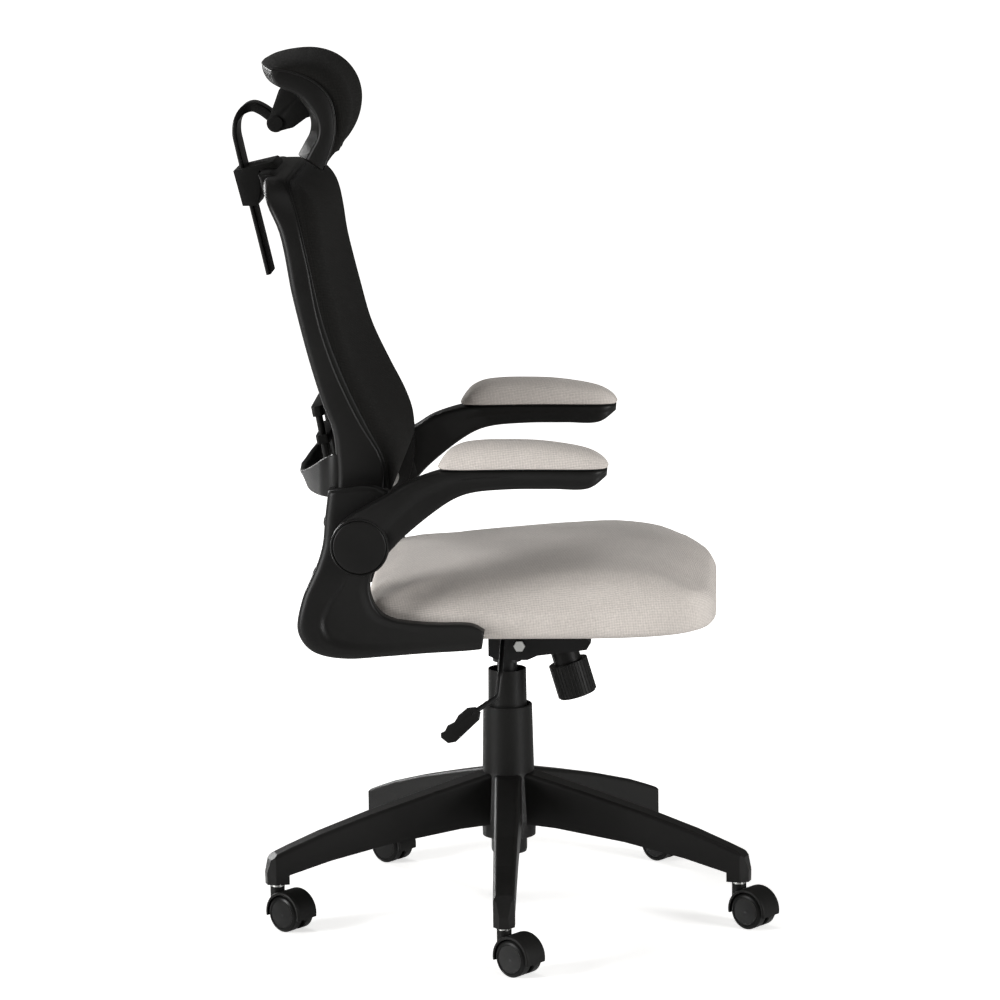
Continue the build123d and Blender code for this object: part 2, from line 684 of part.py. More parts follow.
def ring_part(front, rear, inset, width, bottom):
    """Ring that follows the back's side curve, cut out by the front-view outline."""
    with BuildPart() as hoop:
        with BuildSketch(side_plane(0)):
            make_face(band(front, rear))
        extrude(amount=BACK_HALF_WIDTH + 5, both=True)
        with BuildSketch(front_plane(-400)):
            make_face(back_outline(inset, BACK_BOTTOM))
        extrude(amount=400, mode=Mode.INTERSECT)
        with BuildSketch(front_plane(-400)):
            make_face(back_outline(inset + width, bottom))
        extrude(amount=400, mode=Mode.SUBTRACT)
    return hoop


frame_ring = ring_part(RAIL_FRONT, RAIL_REAR, 0, RAIL_WIDTH, BACK_BOTTOM - 5)
with BuildPart() as back_frame:
    add(frame_ring.part)
    # thick top member that the headrest clamp hooks over
    with BuildSketch(side_plane(0)):
        with BuildLine():
            Polyline([(-323, 1052), (-304, 1052), (-284, 1030), (-296, 1006), (-310, 1006)], close=True)
        make_face()
    extrude(amount=120, both=True)
    # lower member that bows out behind the lumbar space
    with BuildSketch(Plane.XY.offset(606)):
        with BuildLine():
            rear_bow = ThreePointArc((-225, -213.5), (-280, 0), (-225, 213.5))
            front_bow = ThreePointArc((-216, -213.5), (-268, 0), (-216, 213.5))
            Line(rear_bow @ 0, front_bow @ 0)
            Line(rear_bow @ 1, front_bow @ 1)
        make_face()
    extrude(amount=36)
    # lugs that carry the lower member's ends up to the rails
    for side in (-1, 1):
        plane, depth = slab(side, 213.5, 198)
        with BuildSketch(plane):
            with BuildLine():
                Polyline([(-226, 606), (-238, 640), (-236, 690), (-228, 725), (-205, 725), (-205, 606)], close=True)
            make_face()
        extrude(amount=depth)
    # tongues that are bolted inside the brackets
    for side in (-1, 1):
        plane, depth = slab(side, 240, 212)
        with BuildSketch(plane):
            with BuildLine():
                Polyline([(-214, 660), (-214.5, 636), (-219.5, 602), (-223, 572), (-221, 548), (-178, 548),
                          (-160, 600), (-152, 645), (-150, 660)], close=True)
            make_face()
        extrude(amount=depth)
save(back_frame, "back_frame")
save(ring_part(shifted(RIM_FRONT, -MESH_THICKNESS), RAIL_FRONT, 3, 14, BACK_BOTTOM + 14), "mesh_rim")
with BuildPart() as back_mesh:
    with BuildSketch(side_plane(0)):
        make_face(band(MESH_FRONT, shifted(RIM_FRONT, -MESH_THICKNESS)))
    extrude(amount=BACK_HALF_WIDTH, both=True)
    with BuildSketch(front_plane(-400)):
        make_face(back_outline(3, BACK_BOTTOM))
    extrude(amount=400, mode=Mode.INTERSECT)
save(back_mesh, "back_mesh")


def lumbar_plane(along):
    """Plane across the lumbar posts, 'along' millimetres up them from their foot."""
    lean = radians(LUMBAR_LEAN)
    up = Vector(-sin(lean), 0, cos(lean))
    return Plane(origin=Vector(-239, 0, 640) + up * along, x_dir=(0, 1, 0), z_dir=up)


with BuildPart() as lumbar_posts:
    with BuildSketch(lumbar_plane(-20)):
        with Locations((LUMBAR_POST_Y, 0), (-LUMBAR_POST_Y, 0)):
            Circle(5)
    extrude(amount=92)
    with BuildSketch(lumbar_plane(68)):
        RectangleRounded(2 * LUMBAR_POST_Y + 20, 16, 6)
    extrude(amount=14)
    with BuildSketch(Plane.XY.offset(612)):
        with Locations((-252, 0)):
            Rectangle(32, 2 * LUMBAR_POST_Y + 16)
    extrude(amount=10)
    add(back_frame.part, mode=Mode.SUBTRACT)
save(lumbar_posts, "lumbar_posts")
with BuildPart() as lumbar_slider:
    with BuildSketch(lumbar_plane(30)):
        RectangleRounded(2 * LUMBAR_POST_Y + 24, 18, 4)
        with Locations((LUMBAR_POST_Y, 0), (-LUMBAR_POST_Y, 0)):
            Circle(5 + RUN, mode=Mode.SUBTRACT)
    extrude(amount=12)
    with BuildSketch(lumbar_plane(30)):
        with Locations((0, -22)):
            Rectangle(40, 32)
    extrude(amount=12)
save(lumbar_slider, "lumbar_slider")
with BuildPart() as lumbar_pad:
    with BuildSketch(lumbar_plane(-6)):
        with BuildLine():
            pad_rear = ThreePointArc((-108, -50), (0, -38), (108, -50))
            pad_front = ThreePointArc((-108, -57), (0, -45), (108, -57))
            Line(pad_rear @ 0, pad_front @ 0)
            Line(pad_rear @ 1, pad_front @ 1)
        make_face()
    extrude(amount=84)
save(lumbar_pad, "lumbar_pad")


# ---------------------------------------------------------------- headrest
def stem_at(z, offset=0.0):
    """Point (X, Z) on the straight part of the stem, 'offset' millimetres ahead of its middle."""
    lean = radians(STEM_LEAN)
    return (-339 + (991 - z) * sin(lean) / cos(lean) + offset / cos(lean), z)


def stem_band(half, low, high):
    """Edges of the side-view strip of the straight stem between two heights."""
    with BuildLine() as strip:
        Polyline([stem_at(low, -half), stem_at(high, -half), stem_at(high, half), stem_at(low, half)], close=True)
    return strip.edges()


with BuildPart() as headrest_stem:
    with BuildSketch(side_plane(0)):
        make_face(stem_band(STEM_THICKNESS / 2, 898, 1072))
        with BuildLine():
            outer = ThreePointArc(stem_at(1072, -STEM_THICKNESS / 2), (-360, 1106), (-336, 1128))
            Line(outer @ 1, (-312, 1118))
            Line((-312, 1118), (-315, 1109))
            Line((-315, 1109), (-336, 1120))
            inner = ThreePointArc((-336, 1120), (-352, 1103), stem_at(1072, STEM_THICKNESS / 2))
            Line(inner @ 1, outer @ 0)
        make_face()
    extrude(amount=STEM_HALF_WIDTH, both=True)
    with BuildSketch(side_plane(0)):
        with Locations((HINGE_X, HINGE_Z)):
            Circle(20)
    extrude(amount=STEM_HALF_WIDTH + 1, both=True, mode=Mode.SUBTRACT)
    with BuildSketch(side_plane(0)):
        with BuildLine():
            Polyline([(-308, 1108), (-326, 1112), (-327, 1124.5), (-308, 1117)], close=True)
        make_face()
        with Locations((HINGE_X, HINGE_Z)):
            Circle(12.5)
            Circle(4, mode=Mode.SUBTRACT)
    extrude(amount=19.7, both=True)
save(headrest_stem, "headrest_stem")

with BuildPart() as headrest_clamp:
    with BuildSketch(side_plane(0)):
        with BuildLine():
            Polyline([(-362, 1051), (-350, 994), (-330, 994), (-325, 1012), (-327, 1050.5), (-302, 1051.5),
                      (-303, 1058), (-309, 1063)], close=True)
        make_face()
    extrude(amount=45, both=True)
    with BuildSketch(side_plane(0)):
        make_face(stem_band(STEM_THICKNESS / 2 + RUN, 980, 1080))
    extrude(amount=STEM_HALF_WIDTH + RUN, both=True, mode=Mode.SUBTRACT)
    add(back_frame.part, mode=Mode.SUBTRACT)
save(headrest_clamp, "headrest_clamp")


def rest_section(front, rear, y):
    """Edges of the headrest's side-view section at one Y, its wings carried forward and shrunk."""
    part_way = (y / REST_HALF_WIDTH) ** 2
    shrink = 1 - 0.10 * part_way

    def place(x, z):
        return (-240 + (x + 240) * shrink + REST_WING * part_way, 1130 + (z - 1130) * shrink)

    return band([place(x, z) for x, z in front], [place(x, z) for x, z in rear])


def rest_loft(front, rear):
    """Wrap-around body between two side-view curves."""
    with BuildPart() as body:
        for y in (-REST_HALF_WIDTH, -REST_HALF_WIDTH * 0.55, 0, REST_HALF_WIDTH * 0.55, REST_HALF_WIDTH):
            with BuildSketch(side_plane(y)):
                make_face(rest_section(front, rear, y))
        loft()
    return body


headrest_shell = rest_loft(REST_SEAM, REST_REAR)
headrest_pad = rest_loft(REST_FRONT, REST_SEAM)
save(headrest_shell, "headrest_shell")
save(headrest_pad, "headrest_pad")
with BuildPart() as headrest_yoke:
    with BuildSketch(side_plane(0)):
        with BuildLine():
            Polyline([(-312, 1115), (-299, 1150), (-286, 1168), (-262, 1160), (-240, 1132), (-240, 1118),
                      (-262, 1112), (-280, 1099), (-296, 1095)], close=True)
        make_face()
        with Locations((HINGE_X, HINGE_Z)):
            Circle(12.5)
    extrude(amount=30, both=True)
    with BuildSketch(side_plane(0)):
        with Locations((HINGE_X, HINGE_Z)):
            Circle(14)
        with BuildLine():
            Polyline([(-304, 1092), (-340, 1070), (-345, 1150), (-297, 1138), (-296, 1105)], close=True)
        make_face()
    extrude(amount=20.2, both=True, mode=Mode.SUBTRACT)
    with BuildSketch(side_plane(0)):
        with Locations((HINGE_X, HINGE_Z)):
            Circle(4 + RUN)
    extrude(amount=40, both=True, mode=Mode.SUBTRACT)
    add(headrest_shell.part, mode=Mode.SUBTRACT)
    add(headrest_pad.part, mode=Mode.SUBTRACT)
save(headrest_yoke, "headrest_yoke")
with BuildPart() as headrest_pin:
    with BuildSketch(side_plane(0)):
        with Locations((HINGE_X, HINGE_Z)):
            Circle(4)
    extrude(amount=30.4, both=True)
    for end in (-30.4, 30.4):
        with BuildSketch(side_plane(end)):
            with Locations((HINGE_X, HINGE_Z)):
                Circle(9.5)
        extrude(amount=2.4 if end < 0 else -2.4)
save(headrest_pin, "headrest_pin")
print(len(saved), "parts saved")
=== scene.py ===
"""Looks of the high-back office armchair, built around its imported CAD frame. Metres, +X forward, +Z up."""
import bpy
import bmesh
import json
import math
import mathutils
import numpy as np
from mathutils import Matrix, Vector


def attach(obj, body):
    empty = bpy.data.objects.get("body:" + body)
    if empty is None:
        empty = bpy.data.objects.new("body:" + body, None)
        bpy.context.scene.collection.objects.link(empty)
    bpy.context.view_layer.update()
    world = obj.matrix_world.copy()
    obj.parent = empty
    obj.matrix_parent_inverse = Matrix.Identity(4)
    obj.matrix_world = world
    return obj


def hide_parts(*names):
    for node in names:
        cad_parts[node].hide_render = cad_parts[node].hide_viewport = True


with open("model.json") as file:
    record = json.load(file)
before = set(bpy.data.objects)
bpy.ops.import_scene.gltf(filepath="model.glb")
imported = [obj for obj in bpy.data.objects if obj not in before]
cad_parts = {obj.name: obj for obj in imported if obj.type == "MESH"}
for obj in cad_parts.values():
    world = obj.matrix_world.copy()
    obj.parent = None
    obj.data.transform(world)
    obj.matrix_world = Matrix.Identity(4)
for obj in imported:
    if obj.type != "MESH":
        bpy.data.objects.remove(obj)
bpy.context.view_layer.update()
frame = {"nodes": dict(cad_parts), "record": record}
scene = bpy.context.scene
MM = 0.001


# ------------------------------------------------------------------ camera
CAMERA_DISTANCE = 6.235          # from the column's plane, along -Y
CAMERA_SIDE = 0.298
CAMERA_HEIGHT = 1.6975
CAMERA_YAW = 2.80                # degrees towards the chair's rear
CAMERA_PITCH = 10.165            # degrees below level
CAMERA_ROLL = -0.74
CAMERA_LENS = 165.17


def make_camera():
    data = bpy.data.cameras.new("camera")
    data.lens = CAMERA_LENS
    data.sensor_width = 36.0
    data.clip_end = 60.0
    camera = bpy.data.objects.new("camera", data)
    scene.collection.objects.link(camera)
    turn = Matrix.Rotation(math.radians(CAMERA_YAW), 4, "Z")
    tip = Matrix.Rotation(math.radians(90 - CAMERA_PITCH), 4, "X")
    roll = Matrix.Rotation(math.radians(CAMERA_ROLL), 4, "Z")
    place = Matrix.Translation((CAMERA_SIDE, -CAMERA_DISTANCE, CAMERA_HEIGHT))
    camera.matrix_world = place @ turn @ tip @ roll
    scene.camera = camera


make_camera()


# ------------------------------------------------------------------ materials
def new_material(name):
    """A material with an empty tree but for its Principled shader, and that shader."""
    material = bpy.data.materials.new(name)
    material.use_nodes = True
    shader = material.node_tree.nodes["Principled BSDF"]
    return material, material.node_tree, shader


def node(tree, kind, inputs=None, **settings):
    """Add a shader node, set its properties and its input values or links."""
    made = tree.nodes.new(kind)
    for key, value in settings.items():
        setattr(made, key, value)
    for key, value in (inputs or {}).items():
        if isinstance(value, bpy.types.NodeSocket):
            tree.links.new(value, made.inputs[key])
        else:
            made.inputs[key].default_value = value
    return made


def ramp(tree, fac, stops):
    """A colour ramp from (position, grey or colour) stops."""
    made = node(tree, "ShaderNodeValToRGB", {"Fac": fac})
    elements = made.color_ramp.elements
    while len(elements) < len(stops):
        elements.new(0.5)
    for element, (position, colour) in zip(elements, stops):
        element.position = position
        if isinstance(colour, (int, float)):
            colour = (colour, colour, colour)
        element.color = (*colour, 1.0)
    return made.outputs["Color"]


def scaled(colour, k):
    return tuple(c * k for c in colour)


def moulded_plastic(name, colour, rough, grain, grain_scale=900.0, specular=0.5):
    """Injection-moulded plastic: spark-eroded grain and faint flow mottling."""
    material, tree, shader = new_material(name)
    where = node(tree, "ShaderNodeTexCoord").outputs["Object"]
    mottle = node(tree, "ShaderNodeTexNoise", {"Vector": where, "Scale": 9.0, "Detail": 3.0}).outputs["Fac"]
    fine = node(tree, "ShaderNodeTexNoise", {"Vector": where, "Scale": grain_scale, "Detail": 2.0}).outputs["Fac"]
    tree.links.new(ramp(tree, mottle, [(0.3, scaled(colour, 0.85)), (0.7, scaled(colour, 1.2))]),
                   shader.inputs["Base Color"])
    gloss = node(tree, "ShaderNodeMapRange", {"Value": mottle, "From Min": 0.3, "From Max": 0.7,
                                              "To Min": rough - 0.05, "To Max": rough + 0.06}).outputs["Result"]
    tree.links.new(gloss, shader.inputs["Roughness"])
    bump = node(tree, "ShaderNodeBump", {"Height": fine, "Strength": grain, "Distance": 0.0004})
    tree.links.new(bump.outputs["Normal"], shader.inputs["Normal"])
    shader.inputs["Specular IOR Level"].default_value = specular
    return material


def metal(name, colour, rough, metallic=1.0, brushed=0.0, specular=0.5):
    """Steel or plating with a drawn or sprayed surface."""
    material, tree, shader = new_material(name)
    where = node(tree, "ShaderNodeTexCoord").outputs["Object"]
    cloud = node(tree, "ShaderNodeTexNoise", {"Vector": where, "Scale": 25.0, "Detail": 4.0}).outputs["Fac"]
    tree.links.new(ramp(tree, cloud, [(0.3, scaled(colour, 0.8)), (0.7, colour)]), shader.inputs["Base Color"])
    gloss = node(tree, "ShaderNodeMapRange", {"Value": cloud, "From Min": 0.3, "From Max": 0.7,
                                              "To Min": rough * 0.8, "To Max": rough * 1.2}).outputs["Result"]
    tree.links.new(gloss, shader.inputs["Roughness"])
    stretch = node(tree, "ShaderNodeMapping", {"Vector": where, "Scale": (40.0, 40.0, 1500.0)}).outputs["Vector"]
    lines = node(tree, "ShaderNodeTexNoise", {"Vector": stretch, "Scale": 1.0, "Detail": 2.0}).outputs["Fac"]
    bump = node(tree, "ShaderNodeBump", {"Height": lines, "Strength": 0.05 + brushed, "Distance": 0.0003})
    tree.links.new(bump.outputs["Normal"], shader.inputs["Normal"])
    shader.inputs["Metallic"].default_value = metallic
    shader.inputs["Specular IOR Level"].default_value = specular
    return material


def knots_of(tree, where, period, turn):
    """Thread knots, 0 to 1, projected along each axis and blended by the way the surface faces."""
    across, along = math.cos(turn) * math.tau / period, math.sin(turn) * math.tau / period
    planes = []
    for first, second in ((1, 2), (0, 2), (0, 1)):
        waves = []
        for a, b in ((across, along), (-along, across)):
            direction = [0.0, 0.0, 0.0]
            direction[first], direction[second] = a, b
            angle = node(tree, "ShaderNodeVectorMath", {0: where, 1: direction}, operation="DOT_PRODUCT")
            waves.append(node(tree, "ShaderNodeMath", {0: angle.outputs["Value"]}, operation="SINE").outputs["Value"])
        planes.append(node(tree, "ShaderNodeMath", {0: waves[0], 1: waves[1]}, operation="MULTIPLY").outputs["Value"])
    facing = node(tree, "ShaderNodeTexCoord").outputs["Normal"]
    square = node(tree, "ShaderNodeVectorMath", {0: facing, 1: facing}, operation="MULTIPLY").outputs["Vector"]
    weights = node(tree, "ShaderNodeVectorMath", {0: square, 1: square}, operation="MULTIPLY").outputs["Vector"]
    total = node(tree, "ShaderNodeVectorMath", {0: weights, 1: (1.0, 1.0, 1.0)}, operation="DOT_PRODUCT")
    patterns = node(tree, "ShaderNodeCombineXYZ", {"X": planes[0], "Y": planes[1], "Z": planes[2]}).outputs["Vector"]
    blend = node(tree, "ShaderNodeVectorMath", {0: weights, 1: patterns}, operation="DOT_PRODUCT")
    even_blend = node(tree, "ShaderNodeMath", {0: blend.outputs["Value"], 1: total.outputs["Value"]},
                      operation="DIVIDE").outputs["Value"]
    return node(tree, "ShaderNodeMath", {0: even_blend, 1: 0.5, 2: 0.5}, operation="MULTIPLY_ADD").outputs["Value"]


def woven_fabric(name, colour, thread, depth, rough=0.9, sheen=0.35, contrast=0.35, specular=0.2):
    """Woven upholstery cloth: slanted rows of thread knots, a little fluff and slow patches of tone."""
    material, tree, shader = new_material(name)
    where = node(tree, "ShaderNodeTexCoord").outputs["Object"]
    drift = node(tree, "ShaderNodeTexNoise", {"Vector": where, "Scale": 14.0, "Detail": 1.0}).outputs["Color"]
    drawn = node(tree, "ShaderNodeVectorMath", {0: drift, 1: (0.004, 0.004, 0.004), 2: where},
                 operation="MULTIPLY_ADD").outputs["Vector"]
    knots = knots_of(tree, drawn, thread, math.radians(40))
    fluff = node(tree, "ShaderNodeTexNoise", {"Vector": where, "Scale": 420.0, "Detail": 3.0}).outputs["Fac"]
    patchy = node(tree, "ShaderNodeTexNoise", {"Vector": where, "Scale": 11.0, "Detail": 4.0}).outputs["Fac"]
    thread_tone = ramp(tree, knots, [(0.1, scaled(colour, 1 - contrast)), (0.5, colour), (0.9, scaled(colour, 1.15))])
    fluff_tone = ramp(tree, fluff, [(0.3, 0.86), (0.7, 1.06)])
    patch_tone = ramp(tree, patchy, [(0.3, 0.94), (0.7, 1.04)])
    mixed = node(tree, "ShaderNodeMix", {"Factor": 1.0, 6: thread_tone, 7: fluff_tone}, data_type="RGBA",
                 blend_type="MULTIPLY").outputs[2]
    mixed = node(tree, "ShaderNodeMix", {"Factor": 1.0, 6: mixed, 7: patch_tone}, data_type="RGBA",
                 blend_type="MULTIPLY").outputs[2]
    tree.links.new(mixed, shader.inputs["Base Color"])
    height = node(tree, "ShaderNodeMath", {0: fluff, 1: 0.4, 2: knots}, operation="MULTIPLY_ADD").outputs["Value"]
    bump = node(tree, "ShaderNodeBump", {"Height": height, "Strength": depth, "Distance": 0.0006})
    tree.links.new(bump.outputs["Normal"], shader.inputs["Normal"])
    shader.inputs["Roughness"].default_value = rough
    shader.inputs["Sheen Weight"].default_value = sheen
    shader.inputs["Sheen Roughness"].default_value = 0.4
    shader.inputs["Specular IOR Level"].default_value = specular
    return material


def plywood(name):
    """Raw birch ply: pale veneer with long grain."""
    material, tree, shader = new_material(name)
    where = node(tree, "ShaderNodeTexCoord").outputs["Object"]
    long = node(tree, "ShaderNodeMapping", {"Vector": where, "Scale": (6.0, 90.0, 300.0)}).outputs["Vector"]
    grain = node(tree, "ShaderNodeTexNoise", {"Vector": long, "Scale": 1.0, "Detail": 6.0}).outputs["Fac"]
    tree.links.new(ramp(tree, grain, [(0.3, (0.30, 0.19, 0.10)), (0.7, (0.50, 0.36, 0.21))]),
                   shader.inputs["Base Color"])
    bump = node(tree, "ShaderNodeBump", {"Height": grain, "Strength": 0.2, "Distance": 0.0005})
    tree.links.new(bump.outputs["Normal"], shader.inputs["Normal"])
    shader.inputs["Roughness"].default_value = 0.7
    return material


GREY = (0.55, 0.508, 0.472)
LOOK = {
    "grey_fabric": woven_fabric("grey_fabric", GREY, 0.0030, 0.6, 0.9, 0.15, 0.3),
    "black_mesh": woven_fabric("black_mesh", (0.010, 0.0097, 0.009), 0.0028, 0.7, 0.85, 0.02, 0.7, 0.05),
    "black_plastic": moulded_plastic("black_plastic", (0.0065, 0.0064, 0.006), 0.46, 0.35, 900.0, 0.13),
    "satin_plastic": moulded_plastic("satin_plastic", (0.0065, 0.0063, 0.006), 0.40, 0.30, 1100.0, 0.17),
    "wheel_plastic": moulded_plastic("wheel_plastic", (0.006, 0.006, 0.0057), 0.34, 0.15, 700.0, 0.17),
    "black_steel": metal("black_steel", (0.007, 0.007, 0.007), 0.38, 0.0, 0.0, 0.2),
    "zinc_steel": metal("zinc_steel", (0.72, 0.72, 0.70), 0.32, 1.0, 0.1),
    "chrome": metal("chrome", (0.8, 0.8, 0.8), 0.1),
    "plywood": plywood("plywood"),
}
BODY_OF = {node: body for body, nodes in frame["record"]["behaviour"]["bodies"].items() for node in nodes}
slot_of = {part["node"]: part["material_slot"] for part in frame["record"]["subparts"]}


def dress(obj, slot_name):
    """Give a piece the material of the given slot."""
    obj.data.materials.clear()
    obj.data.materials.append(LOOK[slot_name])
    return obj


for name, obj in frame["nodes"].items():
    obj.data.materials.clear()
    obj.data.materials.append(LOOK[slot_of[name]])


# ------------------------------------------------------------------ mesh helpers
def through(points, per):
    """Points of a smooth curve through the given ones, 'per' of them to each stretch."""
    p = np.array(points, float)
    p = np.vstack([2 * p[0] - p[1], p, 2 * p[-1] - p[-2]])
    found = []
    for a, b, c, d in zip(p, p[1:], p[2:], p[3:]):
        t0 = 0.0
        t1 = t0 + math.sqrt(np.linalg.norm(b - a)) + 1e-9
        t2 = t1 + math.sqrt(np.linalg.norm(c - b)) + 1e-9
        t3 = t2 + math.sqrt(np.linalg.norm(d - c)) + 1e-9
        for t in np.linspace(t1, t2, per, endpoint=False):
            ab = (t1 - t) / (t1 - t0) * a + (t - t0) / (t1 - t0) * b
            bc = (t2 - t) / (t2 - t1) * b + (t - t1) / (t2 - t1) * c
            cd = (t3 - t) / (t3 - t2) * c + (t - t2) / (t3 - t2) * d
            abc = (t2 - t) / (t2 - t0) * ab + (t - t0) / (t2 - t0) * bc
            bcd = (t3 - t) / (t3 - t1) * bc + (t - t1) / (t3 - t1) * cd
            found.append((t2 - t) / (t2 - t1) * abc + (t - t1) / (t2 - t1) * bcd)
    found.append(p[-2])
    return np.array(found)


def even(points, count):
    """The same line with evenly spaced points."""
    p = np.array(points, float)
    run = np.concatenate([[0], np.cumsum(np.linalg.norm(np.diff(p, axis=0), axis=1))])
    where = np.linspace(0, run[-1], count)
    return np.column_stack([np.interp(where, run, p[:, k]) for k in range(p.shape[1])])


def smooth_step(value):
    value = np.clip(value, 0.0, 1.0)
    return value * value * (3 - 2 * value)


def new_piece(name, vertices, faces, slot_name, body, replaced=(), sharp=42):
    """A mesh piece from points in millimetres, dressed, riding on its body and standing for CAD nodes."""
    data = bpy.data.meshes.new(name)
    data.from_pydata([(x * MM, y * MM, z * MM) for x, y, z in vertices], [], faces)
    obj = bpy.data.objects.new(name, data)
    scene.collection.objects.link(obj)
    tidy_mesh(obj, sharp)
    dress(obj, slot_name)
    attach(obj, body)
    if replaced:
        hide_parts(*replaced)
    return obj


def tidy_mesh(obj, sharp=42):
    """Weld, turn the faces outward, shade smooth and keep edges sharper than the angle crisp."""
    mesh = bmesh.new()
    mesh.from_mesh(obj.data)
    bmesh.ops.remove_doubles(mesh, verts=mesh.verts, dist=1e-6)
    bmesh.ops.recalc_face_normals(mesh, faces=mesh.faces)
    limit = math.radians(sharp)
    for edge in mesh.edges:
        edge.smooth = len(edge.link_faces) == 2 and edge.calc_face_angle(0) < limit
    for face in mesh.faces:
        face.smooth = True
    mesh.to_mesh(obj.data)
    mesh.free()


def skin(rows, loop=False, caps=False):
    """Vertices and quads over rows of points; loop joins each row's two ends, caps closes the end rows."""
    rows = np.array(rows, float)
    count, width = rows.shape[:2]
    faces = []
    for i in range(count - 1):
        for j in range(width if loop else width - 1):
            k = (j + 1) % width
            a = i * width
            faces.append((a + j, a + k, a + width + k, a + width + j))
    vertices = rows.reshape(-1, 3).tolist()
    if caps:
        for first in (0, (count - 1) * width):
            centre = np.mean(rows.reshape(-1, 3)[first:first + width], axis=0).tolist()
            vertices.append(centre)
            hub = len(vertices) - 1
            faces += [(first + j, first + (j + 1) % width, hub) for j in range(width)]
    return vertices, faces


def joined(*skins):
    """One vertex and face list from several skins."""
    vertices, faces = [], []
    for some_vertices, some_faces in skins:
        base = len(vertices)
        vertices += some_vertices
        faces += [tuple(base + index for index in face) for face in some_faces]
    return vertices, faces


def mirrored(a_skin):
    """The skin carried to the chair's other side."""
    return [(x, -y, z) for x, y, z in a_skin[0]], a_skin[1]


def rounded_rectangle(width, depth, radii, arc=5):
    """Loop of (across, along) points, 0 to width by 0 to depth, each corner with its own radius."""
    corners = [(0, 0, 180), (width, 0, 270), (width, depth, 0), (0, depth, 90)]
    loop = []
    for (cx, cy, begin), radius in zip(corners, radii):
        radius = min(radius, width / 2.02, depth / 2.02)
        ox = cx + (radius if cx == 0 else -radius)
        oy = cy + (radius if cy == 0 else -radius)
        for angle in np.radians(np.linspace(begin, begin + 90, arc)):
            loop.append((ox + radius * math.cos(angle), oy + radius * math.sin(angle)))
    return loop


def lathe(profile, centre, axis, steps=48):
    """Skin turned about an axis through centre from (radius, along) points."""
    axis = Vector(axis).normalized()
    side = axis.orthogonal().normalized()
    up = axis.cross(side)
    rows = []
    for step in range(steps + 1):
        angle = 2 * math.pi * step / steps
        out = side * math.cos(angle) + up * math.sin(angle)
        rows.append([tuple(Vector(centre) + axis * along + out * radius) for radius, along in profile])
    return skin(rows)


def tube(path, radius, steps=10):
    """Skin of a round bar along a path of points."""
    path = [Vector(point) for point in path]
    rows = []
    normal = None
    for i, point in enumerate(path):
        ahead = path[i + 1] if i < len(path) - 1 else point
        behind = path[i - 1] if i else point
        along = (ahead - behind).normalized()
        if normal is None:
            normal = along.orthogonal().normalized()
        normal = (normal - along * normal.dot(along)).normalized()
        other = along.cross(normal)
        rows.append([tuple(point + normal * radius * math.cos(a) + other * radius * math.sin(a))
                     for a in np.linspace(0, 2 * math.pi, steps, endpoint=False)])
    return skin(rows, loop=True, caps=True)


def block(low, high, radius):
    """Skin of a box with rounded upright edges and eased top and bottom."""
    (x0, y0, z0), (x1, y1, z1) = low, high
    ease = min(radius, (z1 - z0) / 2.1)
    rows = []
    for z, inset in ((z0, ease), (z0 + ease * 0.3, ease * 0.3), (z0 + ease, 0), (z1 - ease, 0),
                     (z1 - ease * 0.3, ease * 0.3), (z1, ease)):
        loop = rounded_rectangle(x1 - x0 - 2 * inset, y1 - y0 - 2 * inset, [radius] * 4)
        rows.append([(x0 + inset + a, y0 + inset + b, z) for a, b in loop])
    return skin(rows, loop=True, caps=True)


def eased(node_name, slot_name, body, width):
    """Stand-in for a CAD node with its hard edges rounded."""
    source = frame["nodes"][node_name]
    obj = bpy.data.objects.new(node_name + "_shaped", source.data.copy())
    scene.collection.objects.link(obj)
    mesh = bmesh.new()
    mesh.from_mesh(obj.data)
    bmesh.ops.remove_doubles(mesh, verts=mesh.verts, dist=2e-6)
    bmesh.ops.dissolve_limit(mesh, angle_limit=math.radians(1.0), verts=mesh.verts, edges=mesh.edges)
    mesh.to_mesh(obj.data)
    mesh.free()
    rounding = obj.modifiers.new("rounding", "BEVEL")
    rounding.width = width * MM
    rounding.segments = 2
    rounding.limit_method = "ANGLE"
    rounding.angle_limit = math.radians(28)
    rounding.use_clamp_overlap = True
    apply_modifiers(obj)
    tidy_mesh(obj, 50)
    dress(obj, slot_name)
    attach(obj, body)
    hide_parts(node_name)
    return obj


def apply_modifiers(obj):
    """Bake the modifier stack into the mesh."""
    depsgraph = bpy.context.evaluated_depsgraph_get()
    baked = bpy.data.meshes.new_from_object(obj.evaluated_get(depsgraph))
    obj.modifiers.clear()
    obj.data = baked


SIM_FRAMES = 20


